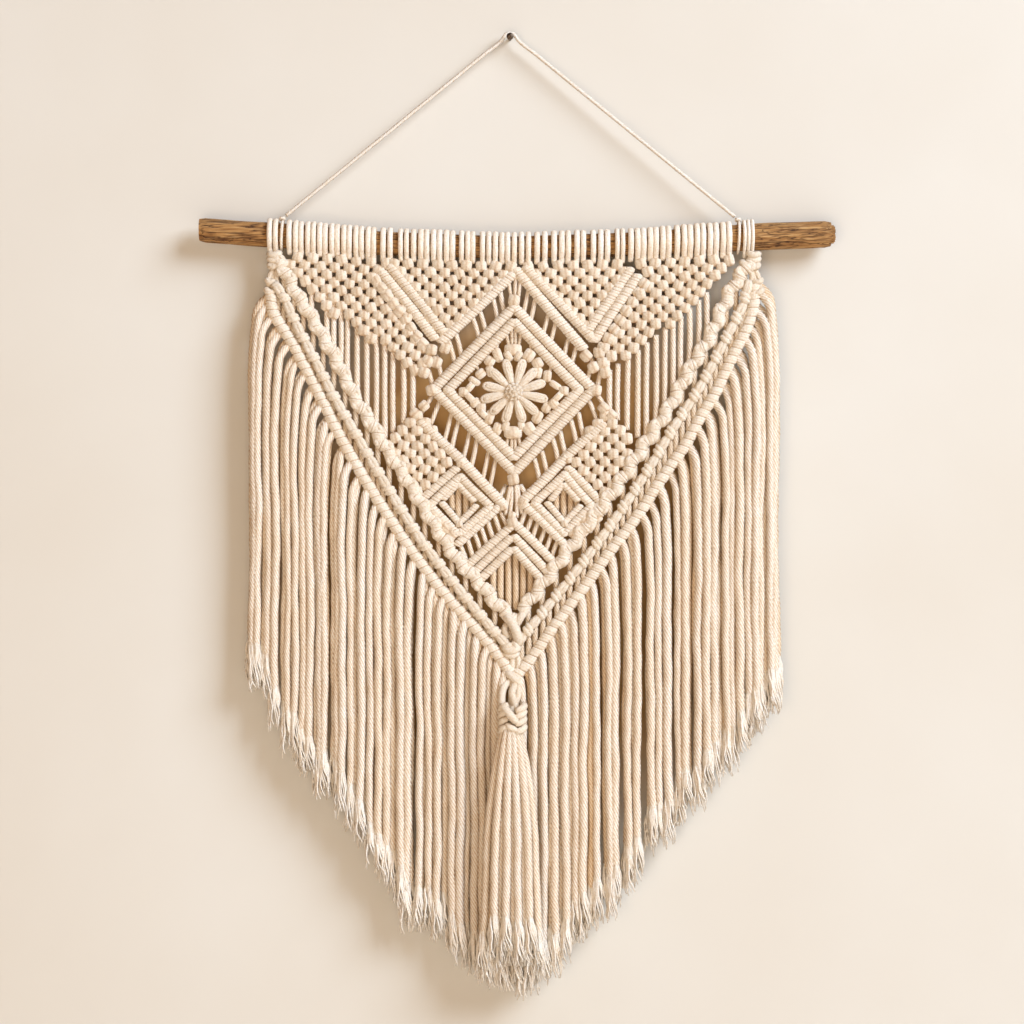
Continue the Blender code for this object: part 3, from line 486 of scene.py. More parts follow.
    def loose_strand(self, points, radius, tone=None, sway=0.0, lead=LEAD, start=1.0):
        """A hanging strand, a little wavy, whose foot opens in loose yarns."""
        line, tone = smooth(points, 3.4), chance.uniform(0.4, 1) if tone is None else tone
        along = lengths(line)
        for size, wave in ((0.6, chance.uniform(80, 150)), (0.22, chance.uniform(26, 44))):
            ramp_in = np.clip((along - 25) / 60, 0, 1) * sway * size
            line[:, 0] += ramp_in * np.sin(TURN * along / wave + chance.uniform(0, TURN))
            line[:, 1] += ramp_in * 0.6 * np.sin(TURN * along / wave + chance.uniform(0, TURN))
        taper = np.clip((along[-1] - along) / 14, 0, 1)
        size = radius * np.minimum(0.4 + 0.6 * taper**0.6, start + along / 40)
        self.strand(line, size, tone=tone, lead=lead)
        self.fray(line[-1], line[-1] - line[-4], radius, FRAY, tone)

    def copies(self, master, placings):
        """Copies of a master of square_knot(), each turned by a 3 by 3 and moved to its place."""
        points, quads, threes, groove = master
        for place, matrix in placings:
            moved = points @ matrix.T + place
            self.quads.append(quads + self.count)
            self.caps += (threes + self.count).tolist()
            self.maps.append((points[quads].reshape(-1, 3) + place * 7)[:, [2, 0]])
            self.points.append(moved)
            self.groove.append(groove)
            self.tone.append(np.full(len(moved), chance.uniform(0.4, 1)))
            self.count += len(moved)

    def piece(self, name, material):
        """One mesh of all that was gathered, in metres."""
        quads, caps = np.vstack(self.quads), self.caps
        loops = np.concatenate([quads.ravel(), *[np.array(c) for c in caps]]) if caps else quads.ravel()
        sizes = np.concatenate([np.full(len(quads), 4), [len(c) for c in caps]]).astype(int)
        mesh = bpy.data.meshes.new(name)
        mesh.vertices.add(self.count)
        mesh.vertices.foreach_set("co", (np.vstack(self.points) * MM).ravel())
        mesh.loops.add(len(loops))
        mesh.loops.foreach_set("vertex_index", loops.astype(np.int32))
        mesh.polygons.add(len(sizes))
        mesh.polygons.foreach_set("loop_start", (np.cumsum(sizes) - sizes).astype(np.int32))
        mesh.update(calc_edges=True)
        where = np.zeros((len(loops), 2))
        where[: len(quads) * 4] = np.vstack(self.maps)
        mesh.uv_layers.new(name="yarns").data.foreach_set("uv", where.ravel())
        for label, values in (("groove", self.groove), ("tone", self.tone)):
            mesh.attributes.new(label, "FLOAT", "POINT").data.foreach_set("value", np.concatenate(values))
        mesh.materials.append(material)
        mesh.shade_smooth()
        mesh.validate()
        made = bpy.data.objects.new(name, mesh)
        bpy.context.scene.collection.objects.link(made)
        return made


# Modelling by hand


def alone():
    """Deselects everything, so that the next operator acts on what is added next."""
    if bpy.context.mode != "OBJECT":
        bpy.ops.object.mode_set(mode="OBJECT")
    bpy.ops.object.select_all(action="DESELECT")


def settle(made, name, material):
    """Names a finished piece, and puts its place, turn and size into its mesh."""
    alone()
    made.select_set(True)
    bpy.context.view_layer.objects.active = made
    bpy.ops.object.transform_apply(location=True, rotation=True, scale=True)
    made.name = made.data.name = name
    made.data.materials.clear()
    made.data.materials.append(material)
    return made


def pick(made, want):
    """Selects, in edit mode, the faces whose middle and normal want() says yes to."""
    bpy.ops.object.mode_set(mode="OBJECT")
    for part in (*made.data.vertices, *made.data.edges):
        part.select = False
    for face in made.data.polygons:
        face.select = want(face.center, face.normal)
    bpy.ops.object.mode_set(mode="EDIT")
    bpy.ops.mesh.select_mode(type="FACE")


def applied(made, kind, **settings):
    modifier = made.modifiers.new(kind.title(), kind)
    for key, value in settings.items():
        setattr(modifier, key, value)
    bpy.context.view_layer.objects.active = made
    bpy.ops.object.modifier_apply(modifier=modifier.name)


def square_knot(crease):
    """A square knot as its front shows it: a boxy cushion of four bulging turns of cord, for copies()."""
    alone()
    bpy.ops.mesh.primitive_uv_sphere_add(segments=8, ring_count=6, radius=1.0)
    made = bpy.context.object
    applied(made, "CAST", cast_type="CUBOID", factor=0.68)
    for line, push in ((0, crease), (2, crease * 0.6)):  # down its middle, then across it
        for vert in made.data.vertices:
            vert.select = abs(vert.co[line]) < 0.1 and vert.co.y < -0.4
        bpy.ops.object.mode_set(mode="EDIT")
        bpy.ops.transform.translate(value=(0, push, 0))
        bpy.ops.object.mode_set(mode="OBJECT")
    bpy.ops.object.mode_set(mode="EDIT")
    bpy.ops.mesh.select_all(action="SELECT")
    bpy.ops.transform.resize(value=(KNOT_WIDE * 0.97, KNOT_DEEP, KNOT_HIGH * 0.97))
    bpy.ops.object.mode_set(mode="OBJECT")
    points = np.array([v.co for v in made.data.vertices])
    faces = [tuple(face.vertices) for face in made.data.polygons]
    quads, threes = (np.array([face for face in faces if len(face) == n]) for n in (4, 3))
    bpy.data.objects.remove(made)
    # painted shade: the knot darkens towards its back and round the rim of its front, and more down the
    # crease of its front
    groove = np.clip(points[:, 1] / KNOT_DEEP * 1.3 + 1.0, 0, 1)
    parted = (np.abs(points[:, 0]) < 0.4) & (points[:, 1] < -0.3 * KNOT_DEEP)
    return points, quads, threes, np.where(parted, 0.56 + crease * 0.5, groove)


def turned(lean, size=(1, 1, 1)):
    """The 3 by 3 that scales, then leans by an angle, clockwise as seen from the front."""
    c, s = math.cos(lean), math.sin(lean)
    return np.array([[c, 0, s], [0, 1, 0], [-s, 0, c]]) @ np.diag(size)


# Materials

RAMP, NOISE, MIX = "ShaderNodeValToRGB", "ShaderNodeTexNoise", "ShaderNodeMix"
MULTIPLY = {"data_type": "RGBA", "blend_type": "MULTIPLY"}


def linear(code):
    """A six-figure sRGB colour as linear red, green, blue and 1."""
    found = []
    for i in (0, 2, 4):
        share = int(code[i : i + 2], 16) / 255
        found.append(share / 12.92 if share <= 0.04045 else ((share + 0.055) / 1.055) ** 2.4)
    return (*found, 1.0)


def new_material(name, looks):
    """A material and its shader, whose own sockets take their values from looks."""
    material = bpy.data.materials.new(name)
    material.use_nodes = True
    shader = material.node_tree.nodes["Principled BSDF"]
    for key, value in looks.items():
        shader.inputs[key].default_value = value
    return material, shader


def node(material, kind, inputs, stops=(), **settings):
    """Adds a node: inputs are its sockets' values, or what feeds them, and stops are a ramp's colours."""
    made = material.node_tree.nodes.new(kind)
    for key, value in settings.items():
        setattr(made, key, value)
    for key, value in inputs.items():
        if isinstance(value, bpy.types.NodeSocket):
            material.node_tree.links.new(value, made.inputs[key])
        else:
            made.inputs[key].default_value = value
    if stops:
        elements = made.color_ramp.elements
        while len(elements) < len(stops):
            elements.new(0.5)
        for element, (place, code) in zip(elements, stops):
            element.position = place
            element.color = linear(code)
    return made


def link(material, source, socket):
    material.node_tree.links.new(source, socket)


def cotton(name, fibre, deep, pale, palest):
    """Cotton cord: matt and soft, cream where lit, with painted shade making it warm and darker down between
    its yarns and where it lies behind.

    Fibres 0.4 mm wide run along the yarns, drawn a little coarser than real so that they show.
    """
    material, shader = new_material(name, {
        "Roughness": 0.92, "Sheen Weight": 0.1, "Sheen Roughness": 0.6, "Sheen Tint": linear("FFE6C4"),
    })
    place = node(material, "ShaderNodeTexCoord", {}).outputs
    groove = node(material, "ShaderNodeAttribute", {}, attribute_name="groove").outputs["Fac"]
    tone = node(material, "ShaderNodeAttribute", {}, attribute_name="tone").outputs["Fac"]
    # the low end of tone is painted shade, the colour of strands that lie behind others
    base = node(material, RAMP, {"Fac": tone}, ((0.0, deep), (0.35, pale), (1.0, palest)))
    # painted shade: darker and warmer as the shade attribute rises
    shade = node(material, RAMP, {"Fac": groove}, ((0.0, "FFFFFF"), (0.5, "FDF7EE"), (1.0, "B98E5B")))
    shaded = node(material, MIX, {0: 1.0, 6: base.outputs[0], 7: shade.outputs[0]}, **MULTIPLY)
    cloud = node(material, NOISE, {"Vector": place["Object"], "Scale": 38.0, "Detail": 2.0})
    patch = node(material, RAMP, {"Fac": cloud.outputs["Fac"]}, ((0.3, "FCF7F0"), (0.7, "FFFFFF")))
    patched = node(material, MIX, {0: 0.8, 6: shaded.outputs[2], 7: patch.outputs[0]}, **MULTIPLY)
    fuzz = node(material, NOISE, {"Vector": place["Object"], "Scale": 650.0, "Detail": 4.0})
    flecks = node(material, RAMP, {"Fac": fuzz.outputs["Fac"]}, ((0.38, "E8D8BE"), (0.54, "FFFFFF")))
    flecked = node(material, MIX, {0: 0.4, 6: patched.outputs[2], 7: flecks.outputs[0]}, **MULTIPLY)
    link(material, flecked.outputs[2], shader.inputs["Base Color"])
    along = node(material, "ShaderNodeMapping", {"Vector": place["UV"], "Scale": (1.0, 0.16, 1.0)})
    fibres = node(
        material, NOISE, {"Vector": along.outputs[0], "Scale": fibre, "Detail": 3.0, "Roughness": 0.6}
    )
    both = node(
        material, "ShaderNodeMath", {0: fuzz.outputs["Fac"], 1: 0.9, 2: fibres.outputs["Fac"]},
        operation="MULTIPLY_ADD",
    )
    bump = node(material, "ShaderNodeBump", {"Height": both.outputs[0], "Strength": 0.8, "Distance": 0.0008})
    link(material, bump.outputs["Normal"], shader.inputs["Normal"])
    return material


def bark(name):
    """Weathered branch wood: brown, split in long dark cracks along the grain, dry and rough."""
    material, shader = new_material(name, {"Roughness": 0.82})
    place = node(material, "ShaderNodeTexCoord", {}).outputs["Object"]
    along = node(material, "ShaderNodeMapping", {"Vector": place, "Scale": (0.09, 1.0, 1.0)}).outputs[0]
    grain = node(
        material, NOISE,
        {"Vector": along, "Scale": 520.0, "Detail": 6.0, "Roughness": 0.6, "Distortion": 0.3},
    ).outputs["Fac"]
    cracks = node(
        material, NOISE,
        {"Vector": along, "Scale": 190.0, "Detail": 2.0, "Roughness": 0.5, "Distortion": 2.2},
    ).outputs["Fac"]
    base = node(
        material, RAMP, {"Fac": grain},
        ((0.28, "7F5428"), (0.45, "A97B45"), (0.6, "BB9059"), (0.78, "D2AF7C")),
    )
    dark = node(
        material, RAMP, {"Fac": cracks},
        ((0.45, "FFFFFF"), (0.485, "4A2C14"), (0.515, "4A2C14"), (0.55, "FFFFFF")),
    )
    cracked = node(material, MIX, {0: 0.75, 6: base.outputs[0], 7: dark.outputs[0]}, **MULTIPLY)
    groove = node(material, "ShaderNodeAttribute", {}, attribute_name="groove").outputs["Fac"]
    # painted shade: the cracks carved into the bare wood are darkened
    crack_shade = node(material, RAMP, {"Fac": groove}, ((0.0, "FFFFFF"), (1.0, "6E4422")))
    split = node(material, MIX, {0: 0.9, 6: cracked.outputs[2], 7: crack_shade.outputs[0]}, **MULTIPLY)
    link(material, split.outputs[2], shader.inputs["Base Color"])
    both = node(material, "ShaderNodeMath", {0: grain, 1: cracks}, operation="ADD")
    bump = node(material, "ShaderNodeBump", {"Height": both.outputs[0], "Strength": 0.8, "Distance": 0.0012})
    link(material, bump.outputs["Normal"], shader.inputs["Normal"])
    return material


def bronzed(name):
    """Bronzed steel nail: dark brown and dull, brighter where its head is worn."""
    material, shader = new_material(name, {"Roughness": 0.42, "Metallic": 0.85})
    place = node(material, "ShaderNodeTexCoord", {}).outputs["Object"]
    wear = node(material, NOISE, {"Vector": place, "Scale": 700.0, "Detail": 3.0}).outputs["Fac"]
    colour = node(material, RAMP, {"Fac": wear}, ((0.35, "3A3029"), (0.7, "7C6A58")))
    link(material, colour.outputs[0], shader.inputs["Base Color"])
    bump = node(material, "ShaderNodeBump", {"Height": wear, "Strength": 0.3, "Distance": 0.0003})
    link(material, bump.outputs["Normal"], shader.inputs["Normal"])
    return material


def plaster(name, code):
    """Painted plaster: pale, matt and all but even, with painted warm shade behind the hanging, seen from its
    front only.
    """
    material, shader = new_material(name, {"Roughness": 0.95})
    place = node(material, "ShaderNodeTexCoord", {}).outputs["Object"]
    mottle = node(material, NOISE, {"Vector": place, "Scale": 3.0, "Detail": 3.0})
    tint = node(material, RAMP, {"Fac": mottle.outputs["Fac"]}, ((0.3, "F9F6F2"), (0.7, "FFFFFF")))
    colour = node(material, MIX, {0: 1.0, 6: linear(code), 7: tint.outputs[0]}, **MULTIPLY)
    # painted shade: the wall behind the hanging's middle is tinted warmer and darker, as if in its shade
    middle = node(
        material, "ShaderNodeMapping",
        {"Vector": place, "Location": (-0.014, 0.0, 1.72), "Scale": (4.7, 1.0, 4.1)},
    )
    near = node(material, "ShaderNodeTexGradient", {"Vector": middle.outputs[0]}, gradient_type="SPHERICAL")
    shade_behind = node(material, RAMP, {"Fac": near.outputs["Fac"]}, ((0.0, "FFFFFF"), (0.3, "FFD294")))
    warm = node(material, MIX, {0: 1.0, 6: colour.outputs[2], 7: shade_behind.outputs[0]}, **MULTIPLY)
    link(material, warm.outputs[2], shader.inputs["Base Color"])
    clear = node(material, "ShaderNodeBsdfTransparent", {})
    side = node(material, "ShaderNodeNewGeometry", {})
    seen = node(
        material, "ShaderNodeMixShader",
        {0: side.outputs["Backfacing"], 1: shader.outputs["BSDF"], 2: clear.outputs["BSDF"]},
    )
    link(material, seen.outputs["Shader"], material.node_tree.nodes["Material Output"].inputs["Surface"])
    return material


# The same cotton twice, painted lighter or darker for how the light falls: the knotted copy is darker, as
# knots face the window light, and the twisted one paler, as the hanging strands shade each other
twisted = cotton("twisted cotton cord", 1.6, "E9CDA0", "FDF7EC", "FFFDF8")
knotted = cotton("knotted cotton cord", 1.3, "D2B48A", "EAE1D2", "F4EDE1")
wood = bark("weathered branch wood")
steel = bronzed("bronzed steel")


def belongs(made, nodes):
    """made rides on the frame, and stands for nodes, which are hidden."""
    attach(made, "root")
    if nodes:
        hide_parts(*nodes)
    return made


# Camera, light and wall


def set_the_stage():
    camera = bpy.data.objects.new("camera", bpy.data.cameras.new("camera"))
    bpy.context.scene.collection.objects.link(camera)
    camera.data.lens, camera.data.sensor_width = LENS, SENSOR
    camera.location = Vector((VIEW_X, PANEL_Y * MM, VIEW_Z)) + Vector((0, -VIEW_WIDTH * LENS / SENSOR, 0))
    camera.rotation_euler = (math.pi / 2, 0, 0)
    bpy.context.scene.camera = camera

    for name, at, aim, size, power, tint in LIGHTS:
        light = bpy.data.lights.new(name, "AREA")
        light.energy, light.size, light.color = power, size, linear(tint)[:3]
        lamp = bpy.data.objects.new(name, light)
        lamp.location = at
        lamp.rotation_euler = (Vector(aim) - Vector(at)).to_track_quat("-Z", "Y").to_euler()
        bpy.context.scene.collection.objects.link(lamp)
    world = bpy.data.worlds.new("room")
    world.use_nodes = True
    nodes, links = world.node_tree.nodes, world.node_tree.links
    dim, pale, mix = nodes["Background"], nodes.new("ShaderNodeBackground"), nodes.new("ShaderNodeMixShader")
    dim.inputs["Color"].default_value, dim.inputs["Strength"].default_value = linear("FFBE7C"), 0.23
    pale.inputs["Color"].default_value, pale.inputs["Strength"].default_value = linear("EFE6DA"), 0.9
    # the room lights dimly and warmly, and is pale where it is itself seen
    links.new(nodes.new("ShaderNodeLightPath").outputs["Is Camera Ray"], mix.inputs[0])
    links.new(dim.outputs[0], mix.inputs[1])
    links.new(pale.outputs[0], mix.inputs[2])
    links.new(mix.outputs[0], nodes["World Output"].inputs["Surface"])
    bpy.context.scene.world = world
    bpy.context.scene.view_settings.view_transform = "Standard"

    alone()
    bpy.ops.mesh.primitive_plane_add(size=WALL_SIZE, location=(0, 0.0005, 0), rotation=(math.pi / 2, 0, 0))
    wall = settle(bpy.context.object, "wall", plaster("painted plaster", "DFDDD5"))
    alone()
    bpy.ops.mesh.primitive_plane_add(size=WALL_SIZE, location=FLOOR_PLACE)
    floor = settle(bpy.context.object, "floor", plaster("pale floor", "E6DFD6"))


# Hanging cord, its knots and the nail


def cord_route():
    """The cord from tie to tie, as the frame has it: two taut runs, and the bend over the nail."""
    nail = Vector((0, CORD_Y, NAIL_SHANK_RADIUS + GAP + CORD_RADIUS))
    runs = []
    for x in TIE_X:
        knot = Vector(tie_top(x))
        down = (knot - nail).normalized()
        start = knot - down * (KNOT_RADIUS + 2 * GAP)
        shoulder = nail + down * CORD_BEND
        runs.append([start.lerp(shoulder, i / CORD_STEPS) for i in range(CORD_STEPS + 1)])
    low = Vector((0, 0, -0.16 * CORD_BEND / 2))
    over = [nail + Vector((x * CORD_BEND, 0, 0)) + low * abs(x) * 2 for x in (-0.35, 0, 0.35)]
    return np.array([*runs[0], *over, *runs[1][::-1]])


def tie_top(x):
    z, radius = branch_at(x)
    return (x, BRANCH_Y + 1.0, z + radius + GAP + 2 * CORD_RADIUS + 0.8)


def make_hanging_cord():
    route = cord_route()
    cords = Cords()
    cords.strand(smooth(route, 1.5), CORD_RADIUS * 1.08, yarns=3, lead=11.0, deep=0.06, tone=1.0)
    made = belongs(cords.piece("hanging_cord_laid", twisted), ["hanging_cord"])


def make_ties():
    """At each end the cord goes once round the branch and is knotted on top of it."""
    for name, x in zip(("tie_left", "tie_right"), TIE_X):
        cords = Cords()
        z, radius = branch_at(x)
        reach = radius + GAP + CORD_RADIUS * 0.9
        turn = np.linspace(-0.5, TURN - 0.5, 40)
        loop = np.column_stack([
            x + 0.5 * np.sin(turn), BRANCH_Y + reach * np.cos(turn), z + reach * np.sin(turn)
        ])
        cords.strand(loop, TIE_RADIUS * 0.85, yarns=3, lead=9.0, deep=0.07, reference=ALONG_BRANCH, tone=0.9)
        top = np.array(tie_top(x))
        t = np.linspace(0, TURN, 22)
        for lean in (-0.5, 0.6):  # the two turns of the knot
            ring = top + np.column_stack([
                1.5 * np.cos(t), 1.5 * np.sin(t), 1.2 * lean * np.cos(t + lean) - 0.4
            ])
            cords.strand(ring, 1.25, yarns=3, lead=9.0, deep=0.07, reference=(0.1, 0.2, 1), tone=0.9)
        belongs(cords.piece(name + "_knotted", twisted), [name])


def make_nail():
    alone()
    bpy.ops.mesh.primitive_cylinder_add(
        vertices=32, radius=NAIL_HEAD_RADIUS, depth=NAIL_HEAD, location=(0, NAIL_HEAD / 2 - NAIL_OUT, 0),
        rotation=(math.pi / 2, 0, 0),
    )
    made = settle(bpy.context.object, "nail", steel)
    pick(made, lambda middle, normal: normal.y > 0.9)
    bpy.ops.mesh.inset(thickness=NAIL_HEAD_RADIUS - NAIL_SHANK_RADIUS)
    for length, share in ((NAIL_OUT + NAIL_IN - NAIL_HEAD - NAIL_POINT, 1), (NAIL_POINT, 0.12)):
        bpy.ops.mesh.extrude_region_move(TRANSFORM_OT_translate={"value": (0, length, 0)})
        bpy.ops.transform.resize(value=(share, 1, share))
    pick(made, lambda middle, normal: normal.y < -0.9)
    for inset, out in ((0.35, -0.35), (0.8, -0.35), (0.8, -0.18)):
        bpy.ops.mesh.inset(thickness=inset)
        bpy.ops.transform.translate(value=(0, out, 0))
    bpy.ops.object.mode_set(mode="OBJECT")
    made.scale = (MM, MM, MM)
    settle(made, "nail_bronzed", steel)
    bpy.ops.object.shade_smooth_by_angle(angle=math.radians(40))
    belongs(made, ["wall_nail"])


# Branch and heading


def make_branch():
    """A cylinder cut into rings, then bent, swollen and split like a dry branch."""
    left, right = BRANCH_STATIONS[0][0], BRANCH_STATIONS[-1][0]
    alone()
    bpy.ops.mesh.primitive_cylinder_add(
        vertices=BRANCH_SIDES, radius=1.0, depth=right - left, location=((left + right) / 2, 0, 0),
        rotation=(0, math.pi / 2, 0),
    )
    made = settle(bpy.context.object, "branch", wood)
    bpy.ops.object.mode_set(mode="EDIT")
    mesh = bmesh.from_edit_mesh(made.data)
    for edge in mesh.edges:
        edge.select = abs(edge.verts[0].co.x - edge.verts[1].co.x) > 1
    bmesh.update_edit_mesh(made.data)
    bpy.ops.mesh.subdivide(number_cuts=BRANCH_RINGS)
    pick(made, lambda middle, normal: normal.x > 0.9)
    bpy.ops.mesh.inset(thickness=0.3)
    for length, inset in ((STUB_LENGTH * 0.6, 0.1), (STUB_LENGTH * 0.3, 0.2), (STUB_LENGTH * 0.1, 0.2)):
        bpy.ops.mesh.extrude_region_move(TRANSFORM_OT_translate={"value": (length, 0, 0)})
        bpy.ops.mesh.inset(thickness=inset)
    pick(made, lambda middle, normal: normal.x < -0.9)
    bpy.ops.mesh.inset(thickness=0.25)
    bpy.ops.object.mode_set(mode="OBJECT")
    groove = []
    for vert in made.data.vertices:
        x, y, z = vert.co
        height, radius = branch_at(x)
        share = math.hypot(y, z)
        angle = math.atan2(z, y)
        at = Vector((x * 0.05, math.cos(angle) * 1.6, math.sin(angle) * 1.6))
        swell = noise.noise(at * 0.7) * SWELLING * (1 if abs(x) > BARE_FROM else 0.25)
        grain = Vector((x * 0.055, math.cos(angle) * 4.2, math.sin(angle) * 4.2)) + Vector((9, 0, 0))
        crack = max(0.0, 1 - abs(noise.noise(grain)) / 0.11)
        bare = abs(x) > 196 or any(a - 1 < x < b + 1 for a, b in HEADING_GAPS)
        size = radius + swell - CRACK_DEEP * crack * (1 if abs(x) > BARE_FROM else 0.4)
        ends = min(x - left, right - x)
        if share > 0.95 and ends < 1.2:
            size -= (1.2 - ends) * 0.7 + 0.5 * abs(noise.noise(at * 5))
        vert.co.y, vert.co.z = BRANCH_Y + size * y, height + size * z
        if x > right + 1:
            vert.co.x += noise.noise(at * 4) * 1.4
        # painted shade in the cracks where the wood is bare
        groove.append(crack if bare else 0.0)
    made.data.attributes.new("groove", "FLOAT", "POINT").data.foreach_set("value", groove)
    made.scale = (MM, MM, MM)
    settle(made, "branch_weathered", wood)
    bpy.ops.object.shade_smooth_by_angle(angle=math.radians(50))
    belongs(made, ["branch"])


def wrap(cords, x, wide, thick, tail, lean=0.0):
    """A strand that comes up from the panel, over the branch and down its back."""
    z, radius = branch_at(x)
    reach = radius + GAP + thick
    turn = np.linspace(-0.3 * math.pi, 1.28 * math.pi, 26)
    loop = np.column_stack([
        x + lean * np.linspace(0, 1, 26), BRANCH_Y - reach * np.cos(turn), z + reach * np.sin(turn)
    ])
    low = z - radius
    foot = [(x - lean, PANEL_Y + 1.0, low - tail), (x - lean * 0.5, PANEL_Y - 0.6, low - tail * 0.5)]
    cords.strand(
        smooth(np.vstack([foot, loop]), 2.2), wide, flat=(thick / wide, 1), yarns=6, lead=80.0, deep=0.045,
        reference=ALONG_BRANCH,
    )


def make_heading():
    """Strands folded over the branch, pushed together but for the gaps where wood shows."""
    cords = Cords()
    edges = [HEADING_LEFT, *[e for gap in HEADING_GAPS for e in gap], HEADING_RIGHT]
    for left, right in zip(edges[::2], edges[1::2]):
        count = max(1, round((right - left) / WRAP_PITCH))
        pitch = (right - left) / count
        for i in range(count):
            x = left + pitch * (i + 0.5) + (0.22 if i % 2 else -0.22)  # they were folded on in twos
            wide = min(WRAP_WIDE, pitch * 0.48) + jitter(0.08)
            wrap(cords, x + jitter(0.12), wide, WRAP_THICK + jitter(0.15), 4.6 + jitter(0.5), jitter(0.3))
    belongs(cords.piece("heading_strands", twisted), ["heading"])
    for name, xs in (("edge_wrap_left", EDGE_WRAPS[:2]), ("edge_wrap_right", EDGE_WRAPS[2:])):
        cords = Cords()
        for x in xs:
            wrap(cords, x, 2.2 if x < 0 else 1.5, WRAP_THICK + 0.1, 6, jitter(0.2))
        belongs(cords.piece(name + "_strands", twisted), [name])


# Panel


def inside(point, outline):
    x, z = point
    found = False
    for (ax, az), (bx, bz) in zip(outline, outline[1:] + outline[:1]):
        if (az > z) != (bz > z) and x < (bx - ax) * (z - az) / (bz - az) + ax:
            found = not found
    return found


def net_knots(outline):
    """The places of a net's knots, by row and column. Its rows follow the sag of the branch."""
    middle = (min(p[0] for p in outline) + max(p[0] for p in outline)) / 2
    found = {}
    for row in range(34):
        for column in range(-12, 13):
            x = middle + (column + (row % 2) / 2) * COLUMN
            height, radius = branch_at(x + PANEL_X)
            z = height - radius - UNDER_BRANCH - row * ROW
            if inside((x, z), outline):
                found[row, column] = np.array((x, z))
    return found


def make_nets():
    cords = Cords()
    plain, parted = [], []
    for outline in NETS:
        knots = net_knots(outline)
        for (row, column), (x, z) in knots.items():
            place = np.array((x + PANEL_X + jitter(0.4), PANEL_Y - 0.4 + jitter(0.35), z + jitter(0.3)))
            size = (1 + jitter(0.08), 1 + jitter(0.08), 1 + jitter(0.08))
            chance.choice((plain, parted, parted)).append((place, turned(jitter(0.3), size)))
            for side in (0, 1):
                foot = knots.get((row + 1, column + side - (row + 1) % 2))
                if foot is not None:
                    ends = np.array([in_panel([p], PANEL_Y + 1.4)[0] for p in ((x, z), foot)])
                    # these cords lie behind the knots, and their low tone paints them darker as shade
                    cords.yarn(spaced(ends, 4), (2.1, 1.9, 2.1), corners=6, tone=0.2)
    for (ax, az), (bx, bz), count, radius in KNOT_ROWS:
        lean = math.atan2(bx - ax, bz - az)
        for i in range(count):
            t = i / (count - 1)
            place = np.array((ax + (bx - ax) * t + PANEL_X, PANEL_Y - 1.0, az + (bz - az) * t))
            parted.append((place, turned(lean + jitter(0.25), np.full(3, radius / 4.3) * (1 + jitter(0.06)))))
    for x, z, radius in KNOTS:
        place = np.array((x + PANEL_X, PANEL_Y - 1.6, z))
        parted.append((place, turned(jitter(0.3), np.full(3, radius / 4.5))))
    cords.copies(square_knot(0.27), plain)
    cords.copies(square_knot(0.4), parted)
    belongs(cords.piece("square_knot_nets", knotted), ["panel"])


def make_bars():
    cords = Cords()
    for radius, (ax, az), (bx, bz) in [(radius, *bar) for radius, bars in BARS for bar in bars]:
        run = np.array((bx - ax, bz - az))
        run /= np.linalg.norm(run)
        ax, az, bx, bz = np.array((ax, az, bx, bz)) + np.array((*-run, *run)) * radius * 0.6
        side = np.array((-run[1], run[0])) * jitter(0.5)
        middle = ((ax + bx) / 2 + side[0], (az + bz) / 2 + side[1])
        path = smooth(in_panel([(ax, az), middle, (bx, bz)], PANEL_Y - 0.8), 1.5)
        # the hitches lean towards the vertical, so left and right bars lean opposite ways
        lean = 0.26 if (bx - ax) * (bz - az) < 0 else -0.26
        cords.hitched(
            path, radius, HITCH, (0.15, 0.09, 0.12), lean if bz < az else -lean,
            tone=chance.uniform(0.5, 1),
        )
    belongs(cords.piece("hitched_bars", knotted), ["panel"])


def make_strands():
    cords = Cords()
    for table, depth, radius in (
        (STRANDS_LEFT, 0.4, STRAND_RADIUS), (STRANDS_RIGHT, 0.4, STRAND_RADIUS), (SLANTED, 1.4, 2.05),
        (TIES, -0.2, 1.7),
    ):
        for x, top, foot_x, foot in table:
            y = PANEL_Y + depth + jitter(0.5)
            middle = ((x + foot_x) / 2 + PANEL_X + jitter(0.5), y - 0.5, (top + foot) / 2)
            path = smooth([(x + PANEL_X, y + 0.8, top), middle, (foot_x + PANEL_X, y + 0.8, foot)], 2.6)
            cords.strand(path, radius * (1 + jitter(0.05)), yarns=6, lead=24.0)
    for x, top, foot in CURTAIN:
        path = spaced([(x + PANEL_X, CURTAIN_Y, top), (x + PANEL_X + jitter(0.6), CURTAIN_Y, foot)], 2.8)
        # these hang behind the panel, and their low tone paints them darker as shade
        cords.strand(path, 2.8, yarns=7, lead=26.0, tone=0.2)
    belongs(cords.piece("panel_strands", twisted), ["panel"])


def row_at(points, along, out=0.0):
    """The (x, z) point that lies so far along a row of the V, and out to its outer side."""
    rows = np.asarray(points, float)
    at = lengths(rows)
    near = np.clip(along, 0, at[-1] - 1)
    here, ahead = (np.array([np.interp(s, at, rows[:, i]) for i in (0, 1)]) for s in (near, near + 1))
    run = (ahead - here) / np.linalg.norm(ahead - here)
    side = np.array((run[1], -run[0])) * (1 if points[0][0] < 0 else -1)
    return here + run * (along - near) + side * out


def below(points, x):
    """The z of a row of the V at x."""
    rows = sorted(points)
    return float(np.interp(x, [p[0] for p in rows], [p[1] for p in rows]))


